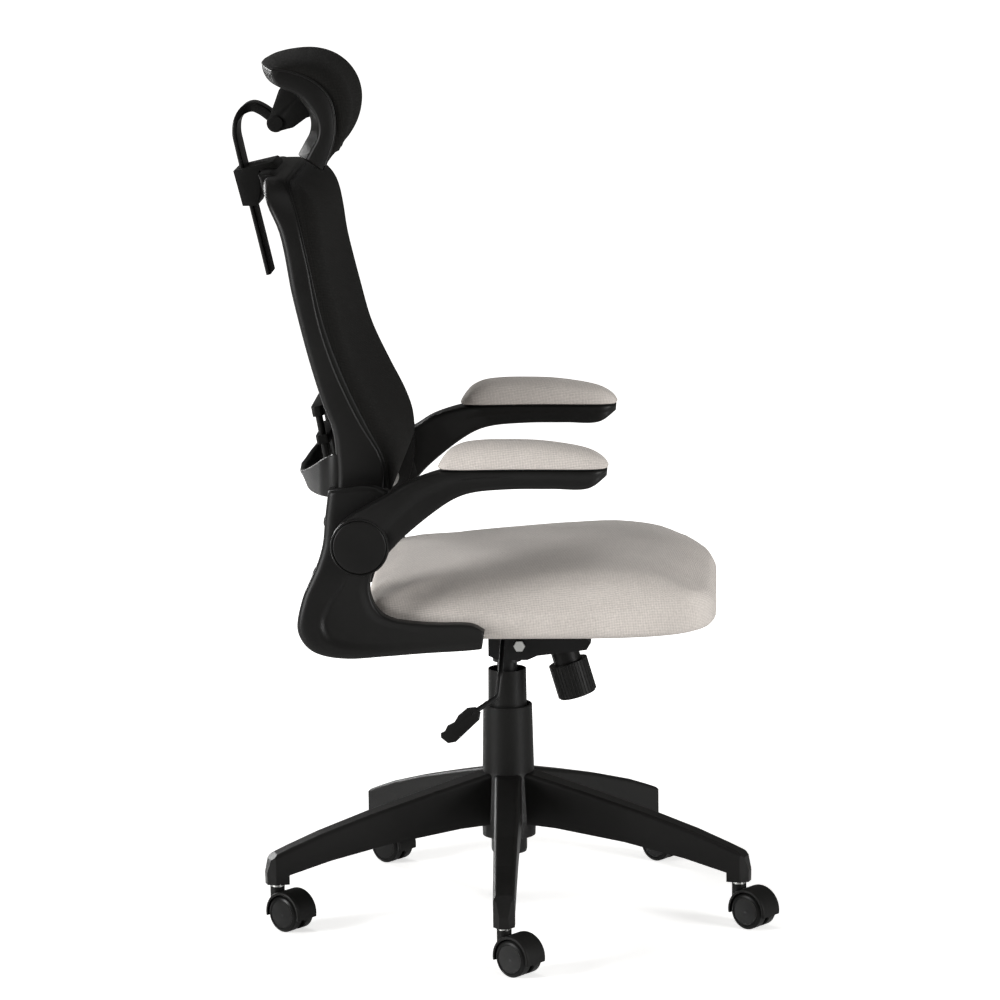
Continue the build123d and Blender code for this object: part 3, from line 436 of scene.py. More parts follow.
def stuffed(obj, voxel, cap, pressure, held):
    """Swell a pad by cloth simulation: no point moves further than cap, and those held(point) keep still."""
    rest_mesh = bpy.data.objects.new(obj.name + "_sim", obj.data.copy())
    scene.collection.objects.link(rest_mesh)
    remesh = rest_mesh.modifiers.new("remesh", "REMESH")
    remesh.mode = "VOXEL"
    remesh.voxel_size = voxel * MM
    apply_modifiers(rest_mesh)
    before = np.array([vertex.co for vertex in rest_mesh.data.vertices])
    cloth = rest_mesh.modifiers.new("cloth", "CLOTH")
    cloth.settings.use_pressure = True
    cloth.settings.uniform_pressure_force = pressure
    cloth.settings.quality = 5
    cloth.settings.mass = 0.3
    cloth.settings.effector_weights.gravity = 0
    cloth.settings.tension_stiffness = 25
    cloth.settings.compression_stiffness = 25
    cloth.settings.bending_stiffness = 1.5
    cloth.point_cache.frame_start = 1
    cloth.point_cache.frame_end = SIM_FRAMES
    group = rest_mesh.vertex_groups.new(name="held")
    group.add([i for i, co in enumerate(before) if held(Vector(co) / MM)], 1.0, "REPLACE")
    cloth.settings.vertex_group_mass = "held"
    for moment in range(1, SIM_FRAMES + 1):
        scene.frame_set(moment)
    depsgraph = bpy.context.evaluated_depsgraph_get()
    swollen = bpy.data.meshes.new_from_object(rest_mesh.evaluated_get(depsgraph))
    after = np.array([vertex.co for vertex in swollen.vertices])
    scene.frame_set(1)
    move = after - before
    length = np.linalg.norm(move, axis=1, keepdims=True)
    move *= np.minimum(1.0, cap * MM / np.maximum(length, 1e-9))
    tree = mathutils.kdtree.KDTree(len(before))
    for i, co in enumerate(before):
        tree.insert(co, i)
    tree.balance()
    for vertex in obj.data.vertices:
        near = tree.find_n(vertex.co, 6)
        weights = [1.0 / (distance + 1e-4) for _, _, distance in near]
        shift = sum((Vector(move[index]) * weight for (_, index, _), weight in zip(near, weights)), Vector())
        vertex.co += shift / sum(weights)
    bpy.data.objects.remove(rest_mesh)
    obj.data.update()


# ------------------------------------------------------------------ side-view curves, millimetres
RAIL_REAR = [(-322, 1064), (-303, 1014), (-285, 977), (-268, 892), (-248, 808), (-231, 750), (-218, 714),
             (-214, 680), (-213.5, 640), (-219.5, 602), (-223, 572), (-221, 552)]
RAIL_FRONT = [(-301, 1064), (-271, 1025), (-248, 942), (-232, 857), (-212, 794), (-181, 726), (-154, 679),
              (-149, 650), (-158, 606), (-172, 560), (-176, 552)]
RIM_FRONT = [(-288, 1067), (-266, 1035), (-250, 990), (-236, 930), (-217, 850), (-187, 770), (-161, 715),
             (-142, 675), (-138, 645), (-136, 618)]
MESH_FRONT = [(-284, 1067), (-262, 1048), (-246, 1025), (-237, 1000), (-232, 970), (-227, 930), (-211, 860),
              (-195, 800), (-170, 745), (-150, 705), (-140, 675), (-137, 645), (-135, 618)]
BACK_HALF = 232.0
BACK_TOP = 1042.0


def height_reader(points):
    """Function that gives a curve's X at a height."""
    line = through(points, 12)[::-1]
    return lambda z: float(np.interp(z, line[:, 1], line[:, 0]))


rail_rear = height_reader(RAIL_REAR)
rail_front = height_reader(RAIL_FRONT)
rim_front = height_reader(RIM_FRONT)
mesh_front = height_reader(MESH_FRONT)


def back_path(inset, bottom):
    """Front-view outline (Y, Z) of the back, from the right foot over the top to the left foot."""
    half = BACK_HALF - inset
    shoulder = half - 16
    top = BACK_TOP - inset
    radius = max(8.0, 84 - inset * 0.6)
    lean = 16 * (radius / (top - 900)) if top > 900 else 0
    right = [(-half, z) for z in np.linspace(bottom, 900, 30)]
    low = (-(shoulder + lean), top - radius)
    right += [(-half + (half - shoulder - lean) * t, 900 + (low[1] - 900) * t) for t in np.linspace(0, 1, 8)[1:]]
    corner, end = (-shoulder, top), (-shoulder + radius, top)
    for t in np.linspace(0, 1, 14)[1:]:
        right.append(tuple((1 - t) ** 2 * low[k] + 2 * t * (1 - t) * corner[k] + t * t * end[k] for k in (0, 1)))
    right += [(end[0] + (0 - end[0]) * t, top) for t in np.linspace(0, 1, 12)[1:]]
    return right + [(-y, z) for y, z in right[-2::-1]]


def hoop(rear, front, inset, width, bottom, radii):
    """Skin of a rounded member that follows the back's outline between two side-view curves."""
    rows = []
    for (yo, zo), (yi, zi) in zip(back_path(inset, bottom), back_path(inset + width, bottom)):
        depth = front(zo) - rear(zo)
        section = []
        for across, along in rounded_rectangle(width, depth, radii):
            part, deep = across / width, along / depth
            y, z = yo + (yi - yo) * part, zo + (zi - zo) * part
            section.append((rear(z) + (front(z) - rear(z)) * deep, y, z))
        rows.append(section)
    return skin(rows, loop=True, caps=True)


# ------------------------------------------------------------------ back frame, rim and mesh
def make_bow():
    """Skin of the lower member: a slanting band that bows out behind the lumbar space and meets the rails."""
    plan = through([(-188, -224), (-204, -226), (-218, -224), (-229, -214), (-240, -192), (-258, -145), (-272, -85),
                    (-279, 0)], 10)
    plan = np.vstack([plan, (plan * (1, -1))[-2::-1]])
    rows = []
    for i, (x, y) in enumerate(plan):
        ahead, behind = plan[min(i + 1, len(plan) - 1)], plan[max(i - 1, 0)]
        along = (ahead - behind) / np.linalg.norm(ahead - behind)
        out = np.array([-abs(along[1]), math.copysign(abs(along[0]), y)])
        spread = abs(y) / 213
        rim, sole = 633 + 42 * spread ** 2.4, 615 + 7 * spread ** 2
        slant = 17 * (1 - smooth_step(spread))
        thick = 8 if spread < 0.95 else 8 - 3 * smooth_step((spread - 0.95) / 0.08)
        section = []
        for across, upward in rounded_rectangle(thick, rim - sole, (3.5, 3, 3.5, 4)):
            share = upward / (rim - sole)
            push = thick / 2 - across - slant * (1 - share) ** 1.3
            section.append((x + out[0] * push, y + out[1] * push, sole + upward))
        rows.append(section)
    return skin(rows, loop=True, caps=True)


def make_top_member():
    """Skin of the thick middle of the top member, under the headrest's clamp."""
    outline = [(-321, 1044), (-304, 1045), (-288, 1031), (-296, 1006), (-308, 1005)]
    rows = []
    middle_x, middle_z = np.mean(outline, axis=0)
    for y, inset in ((-118, 5), (-116, 1.5), (-112, 0), (112, 0), (116, 1.5), (118, 5)):
        scale = 1 - inset / 20
        rows.append([(middle_x + (x - middle_x) * scale, y, middle_z + (z - middle_z) * scale)
                     for x, z in even(through(outline + outline[:1], 6), 30)[:-1]])
    return skin(rows, loop=True, caps=True)


new_piece("frame_shaped", *joined(hoop(rail_rear, rail_front, 0, 19, 556, (11, 7, 3, 4)), make_bow(),
                                  make_top_member()),
          "satin_plastic", BODY_OF["back_frame"], ["back_frame"])
new_piece("rim_shaped", *hoop(lambda z: rail_front(z) - 2, lambda z: rim_front(z) - 7, 2, 15, 636, (2, 2, 5, 6)),
          "black_plastic", BODY_OF["mesh_rim"], ["mesh_rim"])


def back_edge(z):
    """Half width of the padded mesh at a height."""
    path = [(abs(y), height) for y, height in back_path(3, 600) if y <= 0]
    return float(np.interp(z, [height for _, height in path], [half for half, _ in path]))


def make_back_mesh():
    """Skin of the padded mesh: a rolled edge all round, a taut hollow front, and a flatter rear."""
    top = BACK_TOP - 3
    levels = np.concatenate([np.linspace(634, 960, 46), np.linspace(966, 1030, 16),
                             top - np.array([14, 9, 5, 2.5, 1, 0.2])])
    rows = []
    for z in levels:
        half = back_edge(z)
        across = np.concatenate([-half + np.array([0, 0.6, 2, 5, 9, 14, 20]), np.linspace(-half + 28, half - 28, 33),
                                 half - np.array([20, 14, 9, 5, 2, 0.6, 0])])
        low, high = rim_front(z) - 6.5, mesh_front(z) + 1
        front, rear = [], []
        for y in across:
            edge = min(half - abs(y), top - z, (z - 632) * 1.2)
            rise = (1 - (1 - min(edge, 44) / 44) ** 2.2) ** (1 / 2.2)
            hollow = 5 * smooth_step((edge - 30) / 150)
            x = low + (high - low) * rise - hollow
            front.append((x, y, z))
            back = low - 1 + (x - 6 - low) * smooth_step((edge - 14) / 40)
            rear.append((min(back, x - 0.2), y, z))
        rows.append(front + rear[::-1])
    return skin(rows, loop=True, caps=True)


back_mesh = new_piece("mesh_back_pad", *make_back_mesh(), "black_mesh", BODY_OF["back_mesh"], ["back_mesh"], sharp=80)


# ------------------------------------------------------------------ seat
SEAT_PROFILE = [(-185, 470), (-183.5, 488), (-177, 498), (-146, 503), (-89, 508), (2, 516), (93, 522.5), (153, 524),
                (206, 518), (243, 507.5), (272, 494), (284, 486), (291, 477.5), (294.8, 467)]
SEAT_REAR, SEAT_FRONT, SEAT_HALF = -185.0, 295.0, 243.0
SEAT_WAIST = 466.0
seat_profile = through(SEAT_PROFILE, 8)


def seat_outline(inset, count=180):
    """Plan loop of the seat at an inset: nearly straight sides, full rear corners, round front corners."""
    rear, front, half = SEAT_REAR + inset, SEAT_FRONT - inset, SEAT_HALF - inset
    middle, reach = (rear + front) / 2, (front - rear) / 2
    loop = []
    for angle in np.linspace(0, 2 * math.pi, count, endpoint=False):
        c, s = math.cos(angle), math.sin(angle)
        power = 4.2 if c > 0 else 11.0
        side_power = 5.2 if c > 0 else 9.0
        x = middle + reach * math.copysign(abs(c) ** (2 / power), c)
        y = half * math.copysign(abs(s) ** (2 / side_power), s)
        loop.append((x, y * (1 - 0.03 * smooth_step((x - 120) / 160) - 0.015 * smooth_step((-90 - x) / 70))))
    return even(np.array(loop + loop[:1]), count + 1)[:-1]


def seat_top(x, y, share):
    """Height of the cushion: the side-view crown, domed across and rolled over within the outline."""
    crown = float(np.interp(x, seat_profile[:, 0], seat_profile[:, 1]))
    inward = np.clip((SEAT_HALF - abs(y)) / (62 - 34 * float(smooth_step((-115 - x) / 50))), 0, 1)
    dome = (1 - (1 - inward) ** 2.2) ** (1 / 2.2)
    reach = 0.14 + 0.31 * float(smooth_step((x + 165) / 65)) - 0.30 * float(smooth_step((x - 215) / 50))
    roll = (1 - (1 - min(share / reach, 1)) ** 2.2) ** (1 / 2.2)
    return SEAT_WAIST + (crown - 1 - 13 * (abs(y) / 200) ** 2.4 - SEAT_WAIST) * dome * roll


def make_seat():
    """Skin of the upholstered seat: crowned top, deep rolled edges, sides tucked in under the pan."""
    rows = []
    for inset, z in ((60, 430.0), (36, 429.8), (22, 429.8), (13, 430.6), (7, 433), (3.2, 437.5), (1.6, 444),
                     (0.6, 453), (0.1, 460), (0, SEAT_WAIST)):
        rows.append([(x, y, z) for x, y in seat_outline(inset)])
    depth = 66
    for share in (0.012, 0.035, 0.07, 0.12, 0.18, 0.26, 0.35, 0.45, 0.58, 0.72, 0.86, 1.0):
        rows.append([(x, y, seat_top(x, y, share)) for x, y in seat_outline(share * depth)])
    for inset in (78, 94, 112, 132, 154, 178, 200, 214):
        rows.append([(x, y, seat_top(x, y, 1.0)) for x, y in seat_outline(inset)])
    return skin(rows, loop=True, caps=True)


seat = new_piece("seat_upholstery", *make_seat(), "grey_fabric", BODY_OF["seat_cushion"], ["seat_cushion"], sharp=80)
stuffed(seat, 6.0, 3.5, 4.0, lambda p: p.z < 440)


# ------------------------------------------------------------------ arms
PIVOT_X, PIVOT_Z = -179.0, 569.0


def make_arm_pad():
    """Skin of one arm pad: flat seam line under a full crown with round ends."""
    rear, front, half = -75.0, 150.5, 37.0
    middle, reach = (rear + front) / 2, (front - rear) / 2
    crown = through([(-75, 672), (-71, 684), (-60, 697), (-42, 704.5), (-18, 707.5), (21, 708), (60, 706.5),
                     (100, 701), (130, 693.5), (146, 683.5), (150.5, 672)], 8)

    def plan(inset):
        loop = []
        for angle in np.linspace(0, 2 * math.pi, 120, endpoint=False):
            c, s = math.cos(angle), math.sin(angle)
            loop.append((middle + (reach - inset) * math.copysign(abs(c) ** 0.62, c),
                         (half - inset) * math.copysign(abs(s) ** 0.62, s)))
        return even(np.array(loop + loop[:1]), 121)[:-1]

    def base(x):
        return 671.3 + 2.6 * (1 - ((x - middle) / reach) ** 2)

    rows = [[(x, y, base(x) + rise) for x, y in plan(inset)]
            for inset, rise in ((14, 0.0), (5, 0.0), (2.2, 0.3), (0.8, 1.2), (0, 3.0))]
    for share in (0.05, 0.12, 0.2, 0.3, 0.42, 0.55, 0.7, 0.85, 0.95):
        row = []
        for x, y in plan(share * half):
            top = float(np.interp(x, crown[:, 0], crown[:, 1]))
            full = (1 - (1 - share) ** 2.5) ** (1 / 2.5)
            inner = max(top, base(x) + 30 * full)
            row.append((x, y, base(x) + 3 + (min(inner, top + 6 * (1 - full)) - base(x) - 3) * full))
        rows.append(row)
    return skin(rows, loop=True, caps=True)


ARM_TOP = [(-206, 598), (-190, 611), (-171, 622), (-140, 639), (-115, 654), (-75, 667), (-48, 671), (0, 673),
           (76, 673), (128, 671), (149, 670.5)]
ARM_UNDER = [(-160, 545), (-148, 553), (-137, 564), (-123, 579), (-82, 613), (-53, 632), (-30, 640), (19, 644.5),
             (76, 645), (124, 645.5), (148, 660)]
ARM_INNER = [274, 274, 274, 273, 270, 258, 250, 248, 248, 250, 258]
ARM_OUTER = [296, 298, 300, 301, 301, 301, 301, 301, 301, 300, 292]


def make_arm():
    """Skin of one flip-up arm: hub ring round the cap, swept beam with an undercut lower band, and shelf."""
    top, under = through(ARM_TOP, 9), through(ARM_UNDER, 9)
    inner = through([(y, 0) for y in ARM_INNER], 9)[:, 0]
    outer = through([(y, 0) for y in ARM_OUTER], 9)[:, 0]
    shares = np.array([0, 0.03, 0.08, 0.15, 0.25, 0.35, 0.45, 0.52, 0.58, 0.64, 0.70, 0.78, 0.86, 0.93, 0.97, 1.0])
    count = len(top)
    rows = []
    for i in range(count):
        along = i / (count - 1)
        depth = np.linalg.norm(top[i] - under[i])
        crease = 0.62 - 0.30 * smooth_step(along / 0.55)
        strength = 5.0 * smooth_step(along / 0.22) * (1 - 0.5 * smooth_step((along - 0.6) / 0.3))
        end = math.sqrt(max(0.0, 1 - max(0.0, (along - 0.93) / 0.07) ** 2))
        half = (outer[i] - inner[i]) / 2 * (0.35 + 0.65 * end)
        centre = (outer[i] + inner[i]) / 2
        near, far = [], []
        for share in shares:
            x, z = top[i] + (under[i] - top[i]) * share
            edge = min(share, 1 - share) * depth
            round_off = 5 * (1 - math.sqrt(1 - (1 - min(edge, 5) / 5) ** 2))
            undercut = strength * smooth_step((share - crease) / 0.16)
            near.append((x, -(centre + half - round_off - undercut), z))
            far.append((x, -(centre - half + round_off + undercut * 0.6 * smooth_step((along - 0.4) / 0.2)), z))
        rows.append(near + far[::-1])
    beam = skin(rows, loop=True, caps=True)
    ring_profile = [(0, 272.6), (36, 272.6), (38.4, 273.4), (39, 276), (39, 297.5), (38.4, 300), (37.4, 301),
                    (36.6, 300.8), (36.2, 300), (36.2, 296.6), (0, 296.6)]
    hub = lathe(ring_profile, (PIVOT_X, 0, PIVOT_Z), (0, -1, 0), 72)
    return joined(beam, hub)


def make_cap():
    """Skin of the pivot's round cover: slightly domed, with an eased rim."""
    profile = [(35.5, 296.9), (35.6, 299.4), (35.1, 300.4), (34.2, 300.9), (33, 301.0), (20, 301.0), (0, 301.0)]
    return lathe(profile, (PIVOT_X, 0, PIVOT_Z), (0, -1, 0), 72)


def make_trim():
    """Skin of the dark lip between the arm's shelf and its pad."""
    rows = []
    for inset, z in ((9, 669.5), (4, 669.7), (2.6, 670.6), (3.4, 671.8), (9, 672.0)):
        loop = []
        for angle in np.linspace(0, 2 * math.pi, 96, endpoint=False):
            c, s = math.cos(angle), math.sin(angle)
            x = 37.75 + (112.7 - inset) * math.copysign(abs(c) ** 0.62, c)
            loop.append((x, (36.5 - inset) * math.copysign(abs(s) ** 0.62, s),
                         z + 2.6 * (1 - ((x - 37.75) / 112.7) ** 2)))
        rows.append(loop)
    return skin(rows, loop=True, caps=True)


PAD_CENTRE = 274.0
for word, side in (("right", -1), ("left", 1)):
    pad_skin = make_arm_pad()
    pad_skin = ([(x, y + side * PAD_CENTRE, z) for x, y, z in pad_skin[0]], pad_skin[1])
    pad = new_piece("arm_pad_" + word + "_soft", *pad_skin, "grey_fabric", BODY_OF["arm_pad_" + word],
                    ["arm_pad_" + word], sharp=80)
    stuffed(pad, 3.0, 1.5, 3.0, lambda p: p.z < 679)  # two passes: the second works on the first's result
    stuffed(pad, 4.0, 2.5, 4.0, lambda p: p.z < 676)
    trim = make_trim()
    trim = ([(x, y + side * PAD_CENTRE, z) for x, y, z in trim[0]], trim[1])
    arm_skin = joined(make_arm(), mirrored(trim) if side > 0 else trim)
    cap_skin = make_cap()
    if side > 0:
        arm_skin, cap_skin = mirrored(arm_skin), mirrored(cap_skin)
    new_piece("arm_shaped_" + word, *arm_skin, "satin_plastic", BODY_OF["arm_" + word], ["arm_" + word])
    new_piece("pivot_cover_" + word, *cap_skin, "satin_plastic", BODY_OF["pivot_cap_" + word], ["pivot_cap_" + word])


# ------------------------------------------------------------------ brackets
BRACKET_OUTSIDE = [(-222, 639), (-227, 602), (-231, 566), (-240, 537), (-250, 515), (-259, 494), (-267, 454),
                   (-262, 437), (-250, 423), (-232, 415), (-200, 411), (-150, 414), (-98, 418), (-40, 421.5),
                   (-21, 423.5)]
BRACKET_INSIDE = [(-142, 636), (-142, 602), (-148, 572), (-158, 545), (-166, 527), (-169, 508), (-166, 492),
                  (-161, 481), (-152, 471), (-137, 464), (-120, 461), (-105, 459.5), (-80, 458), (-33, 456.5),
                  (-17, 448)]
CREASE = [(-194, 532, 0.0, 0.8), (-207, 511, 2.2, 2.0), (-221, 495, 3.6, 5.0), (-230, 480, 4.6, 6.5),
          (-236, 468, 5.0, 8.5), (-238, 457, 5.0, 10.5), (-236, 446, 4.6, 12.5), (-229, 435, 3.8, 12.5),
          (-217, 428, 3.0, 12.0), (-190, 423, 2.2, 12.0), (-150, 422, 1.5, 12.0), (-100, 425, 0.8, 12.0),
          (-50, 428, 0.0, 10.0)]


def recess(x, z, line):
    """How far the bracket's inner panel is let in at a point: a crease that widens into a crescent."""
    gaps = line[:, :2] - (x, z)
    squares = (gaps ** 2).sum(1) + 1e-6
    nearest = int(np.argmin(squares))
    a, b = line[max(nearest - 1, 0)], line[min(nearest + 1, len(line) - 1)]
    along = (b - a)[:2] / np.linalg.norm((b - a)[:2])
    inward = gaps[nearest, 0] * along[1] - gaps[nearest, 1] * along[0]
    if inward < 0:
        return 0.0
    weights = squares ** -1.5
    depth = float((line[:, 2] * weights).sum() / weights.sum())
    return depth * smooth_step(math.sqrt(squares[nearest]) / line[nearest, 3])


def make_bracket():
    """Skin of one arm bracket: rolled outer band, let-in panel, flange, rear wall and bolt covers."""
    outside, inside = through(BRACKET_OUTSIDE, 12), through(BRACKET_INSIDE, 12)
    line = through(CREASE, 14)
    shares = np.concatenate([np.array([0, 0.012, 0.035, 0.07, 0.11]), np.linspace(0.15, 0.93, 42),
                             np.array([0.955, 0.975, 0.99, 1.0])])
    count = len(outside)
    rows = []
    for i in range(count):
        span = np.linalg.norm(outside[i] - inside[i])
        top_gap = np.linalg.norm(outside[i] - outside[0])
        end_gap = np.linalg.norm(outside[i] - outside[-1])
        near = min(top_gap, end_gap)
        end_round = 3.5 * (1 - math.sqrt(1 - (1 - min(near, 3.5) / 3.5) ** 2))
        front = []
        for share in shares:
            x, z = outside[i] + (inside[i] - outside[i]) * share
            z += 8.5 * math.sin(math.pi * share ** 1.4) * (1 - smooth_step(top_gap / 34))
            near_out, near_in = share * span, (1 - share) * span
            round_out = 9 * (1 - math.sqrt(1 - (1 - min(near_out, 13) / 13) ** 2))
            round_in = 3.5 * (1 - math.sqrt(1 - (1 - min(near_in, 4) / 4) ** 2))
            low = recess(x, z, line) * smooth_step((near_in - 2) / 14)
            front.append((x, -(272 - round_out - round_in - low - end_round), z))
        rows.append(front + [(x, -250.3, z) for x, _, z in front[::-6]])
    plate = skin(rows, loop=True, caps=True)
    flange = block((-147, -251, 421.8), (-29, -157, 429.2), 3)
    wall_out = through([(-222.5, 637), (-227, 602), (-231, 566), (-240, 537), (-250, 515), (-255, 504)], 8)
    wall_in = through([(-216, 637), (-220.5, 602), (-224.5, 566), (-234, 537), (-244, 513), (-249, 501)], 8)
    wall_rows = []
    for (xo, zo), (xi, zi) in zip(wall_out, wall_in):
        wall_rows.append([(xo + (xi - xo) * a / 7, -(215 + b), zo + (zi - zo) * a / 7)
                          for a, b in rounded_rectangle(7, 40, (3, 1, 1, 1))])
    wall = skin(wall_rows, loop=True, caps=True)
    covers = [lathe([(7.5, -1.0), (7.3, 0.8), (6, 2.2), (3.4, 2.9), (0, 3.1)], (x, -235, z), (-0.94, 0, lean), 28)
              for x, z, lean in ((-228.3, 593, 0.10), (-243.8, 524, 0.35))]
    return joined(plate, flange, wall, *covers)


for word, side in (("right", -1), ("left", 1)):
    bracket_skin = make_bracket() if side < 0 else mirrored(make_bracket())
    new_piece("bracket_shaped_" + word, *bracket_skin, "satin_plastic", BODY_OF["bracket_" + word],
              ["bracket_" + word], sharp=50)


# ------------------------------------------------------------------ headrest
REST_FRONT = [(-320, 1191), (-308, 1197), (-286, 1201.5), (-262, 1202), (-238, 1195), (-219, 1181), (-206, 1162),
              (-200, 1138), (-203, 1112), (-213, 1089), (-229, 1069), (-250, 1047)]
REST_SEAM = [(-322, 1189), (-309, 1188), (-294, 1185), (-276, 1179), (-260, 1170), (-247, 1158), (-238, 1142),
             (-234, 1124), (-233.5, 1105), (-236, 1087), (-242, 1068), (-251, 1046)]
REST_REAR = [(-323, 1188), (-321, 1177), (-315, 1167), (-304, 1161), (-291, 1156), (-279, 1148), (-269, 1136),
             (-261, 1123), (-257, 1107), (-259, 1092), (-267, 1077), (-275, 1063)]
REST_HALF = 130.0
REST_CENTRE_X, REST_CENTRE_Z = -240.0, 1130.0
REST_WING, REST_SHRINK = 19.0, 0.06      # forward reach and loss of size at the wings


def rest_place(x, z, y):
    """A headrest point carried forward and shrunk towards the wings."""
    part = (y / REST_HALF) ** 2
    shrink = 1 - REST_SHRINK * part
    return (REST_CENTRE_X + (x - REST_CENTRE_X) * shrink + REST_WING * part, y,
            REST_CENTRE_Z + (z - REST_CENTRE_Z) * shrink)


def make_rest_pad():
    """Skin of the stuffed headrest: full in the middle, rolled over at both ends to its seam."""
    front, seam = through(REST_FRONT, 7), through(REST_SEAM, 7)
    ys = REST_HALF * np.sin(np.linspace(-math.pi / 2, math.pi / 2, 61))
    rows = []
    for y in ys:
        share = abs(y) / REST_HALF
        full = (1 - share ** 4.5) ** (1 / 2.1) if share < 1 else 0.0
        full = max(full, 0.01)
        outer = [rest_place(*(seam[i] + (front[i] - seam[i]) * full), y) for i in range(len(seam))]
        inner = [rest_place(*(seam[i] + (front[i] - seam[i]) * 0.01), y) for i in range(len(seam))]
        rows.append(outer + inner[::-1])
    return skin(rows, loop=True)


def make_rest_shell():
    """Skin of the headrest's moulded shell, with a rounded lip all round."""
    seam, rear = through(REST_SEAM, 7), through(REST_REAR, 7)
    wing = np.array([124, 127, 128.6, 129.6, 130])
    ys = np.concatenate([-wing[::-1], np.linspace(-116, 116, 33), wing])
    rows = []
    for y in ys:
        edge = REST_HALF - abs(y)
        ease = 0.16 * (1 - math.sqrt(1 - (1 - min(edge, 5) / 5) ** 2))
        outer = [rest_place(*(seam[i] + (rear[i] - seam[i]) * (0.02 + ease * 0.3)), y) for i in range(len(seam))]
        inner = [rest_place(*(seam[i] + (rear[i] - seam[i]) * (1 - ease)), y) for i in range(len(seam))]
        rows.append(outer + inner[::-1])
    return skin(rows, loop=True, caps=False), rows


shell_skin, shell_rows = make_rest_shell()
half_loop = len(shell_rows[0]) // 2
ends = [skin([[row[j], row[-1 - j]] for j in range(half_loop)]) for row in (shell_rows[0], shell_rows[-1])]
seam_line = through(REST_SEAM, 7)
lips = [tube([rest_place(x, z, y) for x, z in seam_line[2:-2]], 1.5) for y in (-129.4, 129.4)]
new_piece("headrest_shell_shaped", *joined(shell_skin, *ends, *lips), "satin_plastic", BODY_OF["headrest_shell"],
          ["headrest_shell"], sharp=60)
rest_pad = new_piece("headrest_cushion", *make_rest_pad(), "black_mesh", BODY_OF["headrest_pad"], ["headrest_pad"],
                     sharp=80)
stuffed(rest_pad, 5.0, 3.0, 4.0, lambda p: p.x < -285 or p.z < 1065)


# ------------------------------------------------------------------ pieces that only need their edges eased
def make_stem():
    """Skin of the flat steel stem: straight below, bent over at the top and narrowed into the hinge."""
    line = through([(-318, 898), (-328, 943), (-339, 991), (-348, 1031), (-357, 1072), (-360.5, 1092), (-358, 1110),
                    (-349, 1122), (-337, 1126.5), (-325, 1122), (-314, 1114), (-306, 1107)], 8)
    rows = []
    for i, (x, z) in enumerate(line):
        ahead, behind = line[min(i + 1, len(line) - 1)], line[max(i - 1, 0)]
        along = (ahead - behind) / np.linalg.norm(ahead - behind)
        narrow = smooth_step((i - 44) / 20)
        half, thick = 33 - 13.6 * narrow, 6.4 + 7.0 * narrow
        rows.append([(x + along[1] * (across - thick / 2), upward - half, z - along[0] * (across - thick / 2))
                     for across, upward in rounded_rectangle(thick, 2 * half, (2.4, 2.4, 2.4, 2.4))])
    eye = lathe([(4.1, -19.4), (9.2, -19.4), (9.5, -18.4), (10.2, -18.4), (10.5, -19.4), (12.2, -19.4), (13, -18.4),
                 (13, 18.4), (12.2, 19.4), (4.1, 19.4)],
                (-304, 0, 1105), (0, 1, 0), 40)
    return joined(skin(rows, loop=True, caps=True), eye)


new_piece("stem_shaped", *make_stem(), slot_of["headrest_stem"], BODY_OF["headrest_stem"], ["headrest_stem"])

for node_name, width in (("headrest_yoke", 2.5), ("lumbar_pad", 3.0), ("lumbar_posts", 1.5), ("lumbar_slider", 1.5),
                         ("lever_handle", 1.5)):
    eased(node_name, slot_of[node_name], BODY_OF[node_name], width)
clamp = eased("headrest_clamp", slot_of["headrest_clamp"], BODY_OF["headrest_clamp"], 4.0)
CLAMP_DROP, CLAMP_FROM, CLAMP_BLEND = 9.0, 1022.0, 26.0     # its top sits lower than the CAD, as in the photo
for vertex in clamp.data.vertices:
    vertex.co.z -= CLAMP_DROP * MM * smooth_step((vertex.co.z / MM - CLAMP_FROM) / CLAMP_BLEND)


# ------------------------------------------------------------------ stage
def area_light(name, place, aim, size, power):
    """A rectangular light at a place, turned to face a point, in metres and watts."""
    data = bpy.data.lights.new(name, "AREA")
    data.shape = "RECTANGLE"
    data.size, data.size_y = size
    data.energy = power
    light = bpy.data.objects.new(name, data)
    scene.collection.objects.link(light)
    light.location = place
    light.rotation_euler = (Vector(aim) - Vector(place)).to_track_quat("-Z", "Y").to_euler()


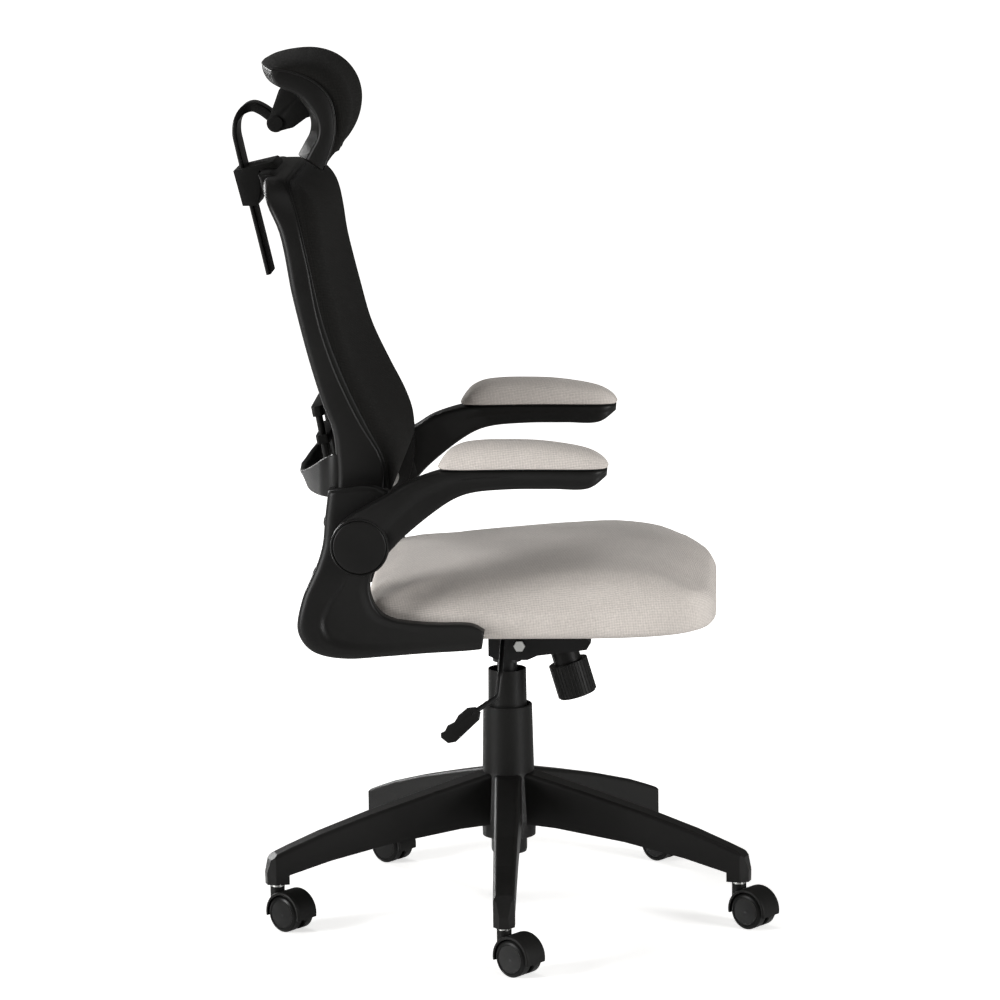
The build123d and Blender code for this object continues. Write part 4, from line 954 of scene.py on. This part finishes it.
LIGHTS = [("key", (-4.4, -2.3, 1.7), (0, 0, 0.6), (1.4, 2.4), 270),
          ("fill", (4.6, -2.6, 1.5), (0, 0, 0.5), (1.4, 2.2), 245),
          ("rear", (-2.8, 3.2, 1.8), (0, 0, 0.8), (0.8, 2.2), 90),
          ("top", (0.2, -0.2, 3.4), (0, 0, 0.5), (2.4, 2.4), 12)]      # name, place, aim, size, watts
FLOOR_HALF = 30.0


def make_stage():
    """Pale floor and soft studio light: broad boxes either side of the camera, a weak one overhead."""
    corners = [(x * FLOOR_HALF, y * FLOOR_HALF, 0) for x, y in ((-1, -1), (1, -1), (1, 1), (-1, 1))]
    data = bpy.data.meshes.new("floor")
    data.from_pydata(corners, [], [(0, 1, 2, 3)])
    floor = bpy.data.objects.new("floor", data)
    scene.collection.objects.link(floor)
    material, tree, shader = new_material("floor")
    where = node(tree, "ShaderNodeTexCoord").outputs["Object"]
    tone = node(tree, "ShaderNodeTexNoise", {"Vector": where, "Scale": 0.6, "Detail": 2.0}).outputs["Fac"]
    tree.links.new(ramp(tree, tone, [(0.3, (0.93, 0.93, 0.925)), (0.7, (0.95, 0.95, 0.945))]),
                   shader.inputs["Base Color"])
    shader.inputs["Roughness"].default_value = 0.3
    # Painted glow: the floor gives off light that only the camera sees. It is weaker within 0.5 m of the chair's
    # centre and reaches full white by 1.7 m, standing in for lamp light on the floor.
    shader.inputs["Emission Color"].default_value = (1.0, 0.995, 0.985, 1.0)
    away = node(tree, "ShaderNodeVectorMath", {0: where}, operation="LENGTH").outputs["Value"]
    painted_glow_level = node(tree, "ShaderNodeMapRange", {"Value": away, "From Min": 0.5, "From Max": 1.7, "To Min": 0.6,
                                             "To Max": 1.05}, interpolation_type="SMOOTHSTEP").outputs["Result"]
    seen = node(tree, "ShaderNodeLightPath").outputs["Is Camera Ray"]
    painted_floor_glow = node(tree, "ShaderNodeMath", {0: painted_glow_level, 1: seen}, operation="MULTIPLY").outputs["Value"]
    tree.links.new(painted_floor_glow, shader.inputs["Emission Strength"])
    floor.data.materials.append(material)
    world = bpy.data.worlds.new("studio")
    world.use_nodes = True
    tree = world.node_tree
    sky = tree.nodes["Background"]
    sky.inputs["Color"].default_value = (1.0, 0.985, 0.955, 1)
    seen = node(tree, "ShaderNodeLightPath").outputs["Is Camera Ray"]
    strength = node(tree, "ShaderNodeMapRange", {"Value": seen, "To Min": 0.12, "To Max": 1.0}).outputs["Result"]
    tree.links.new(strength, sky.inputs["Strength"])
    scene.world = world
    for light in LIGHTS:
        area_light(*light)
    scene.view_settings.view_transform = "Standard"


make_stage()
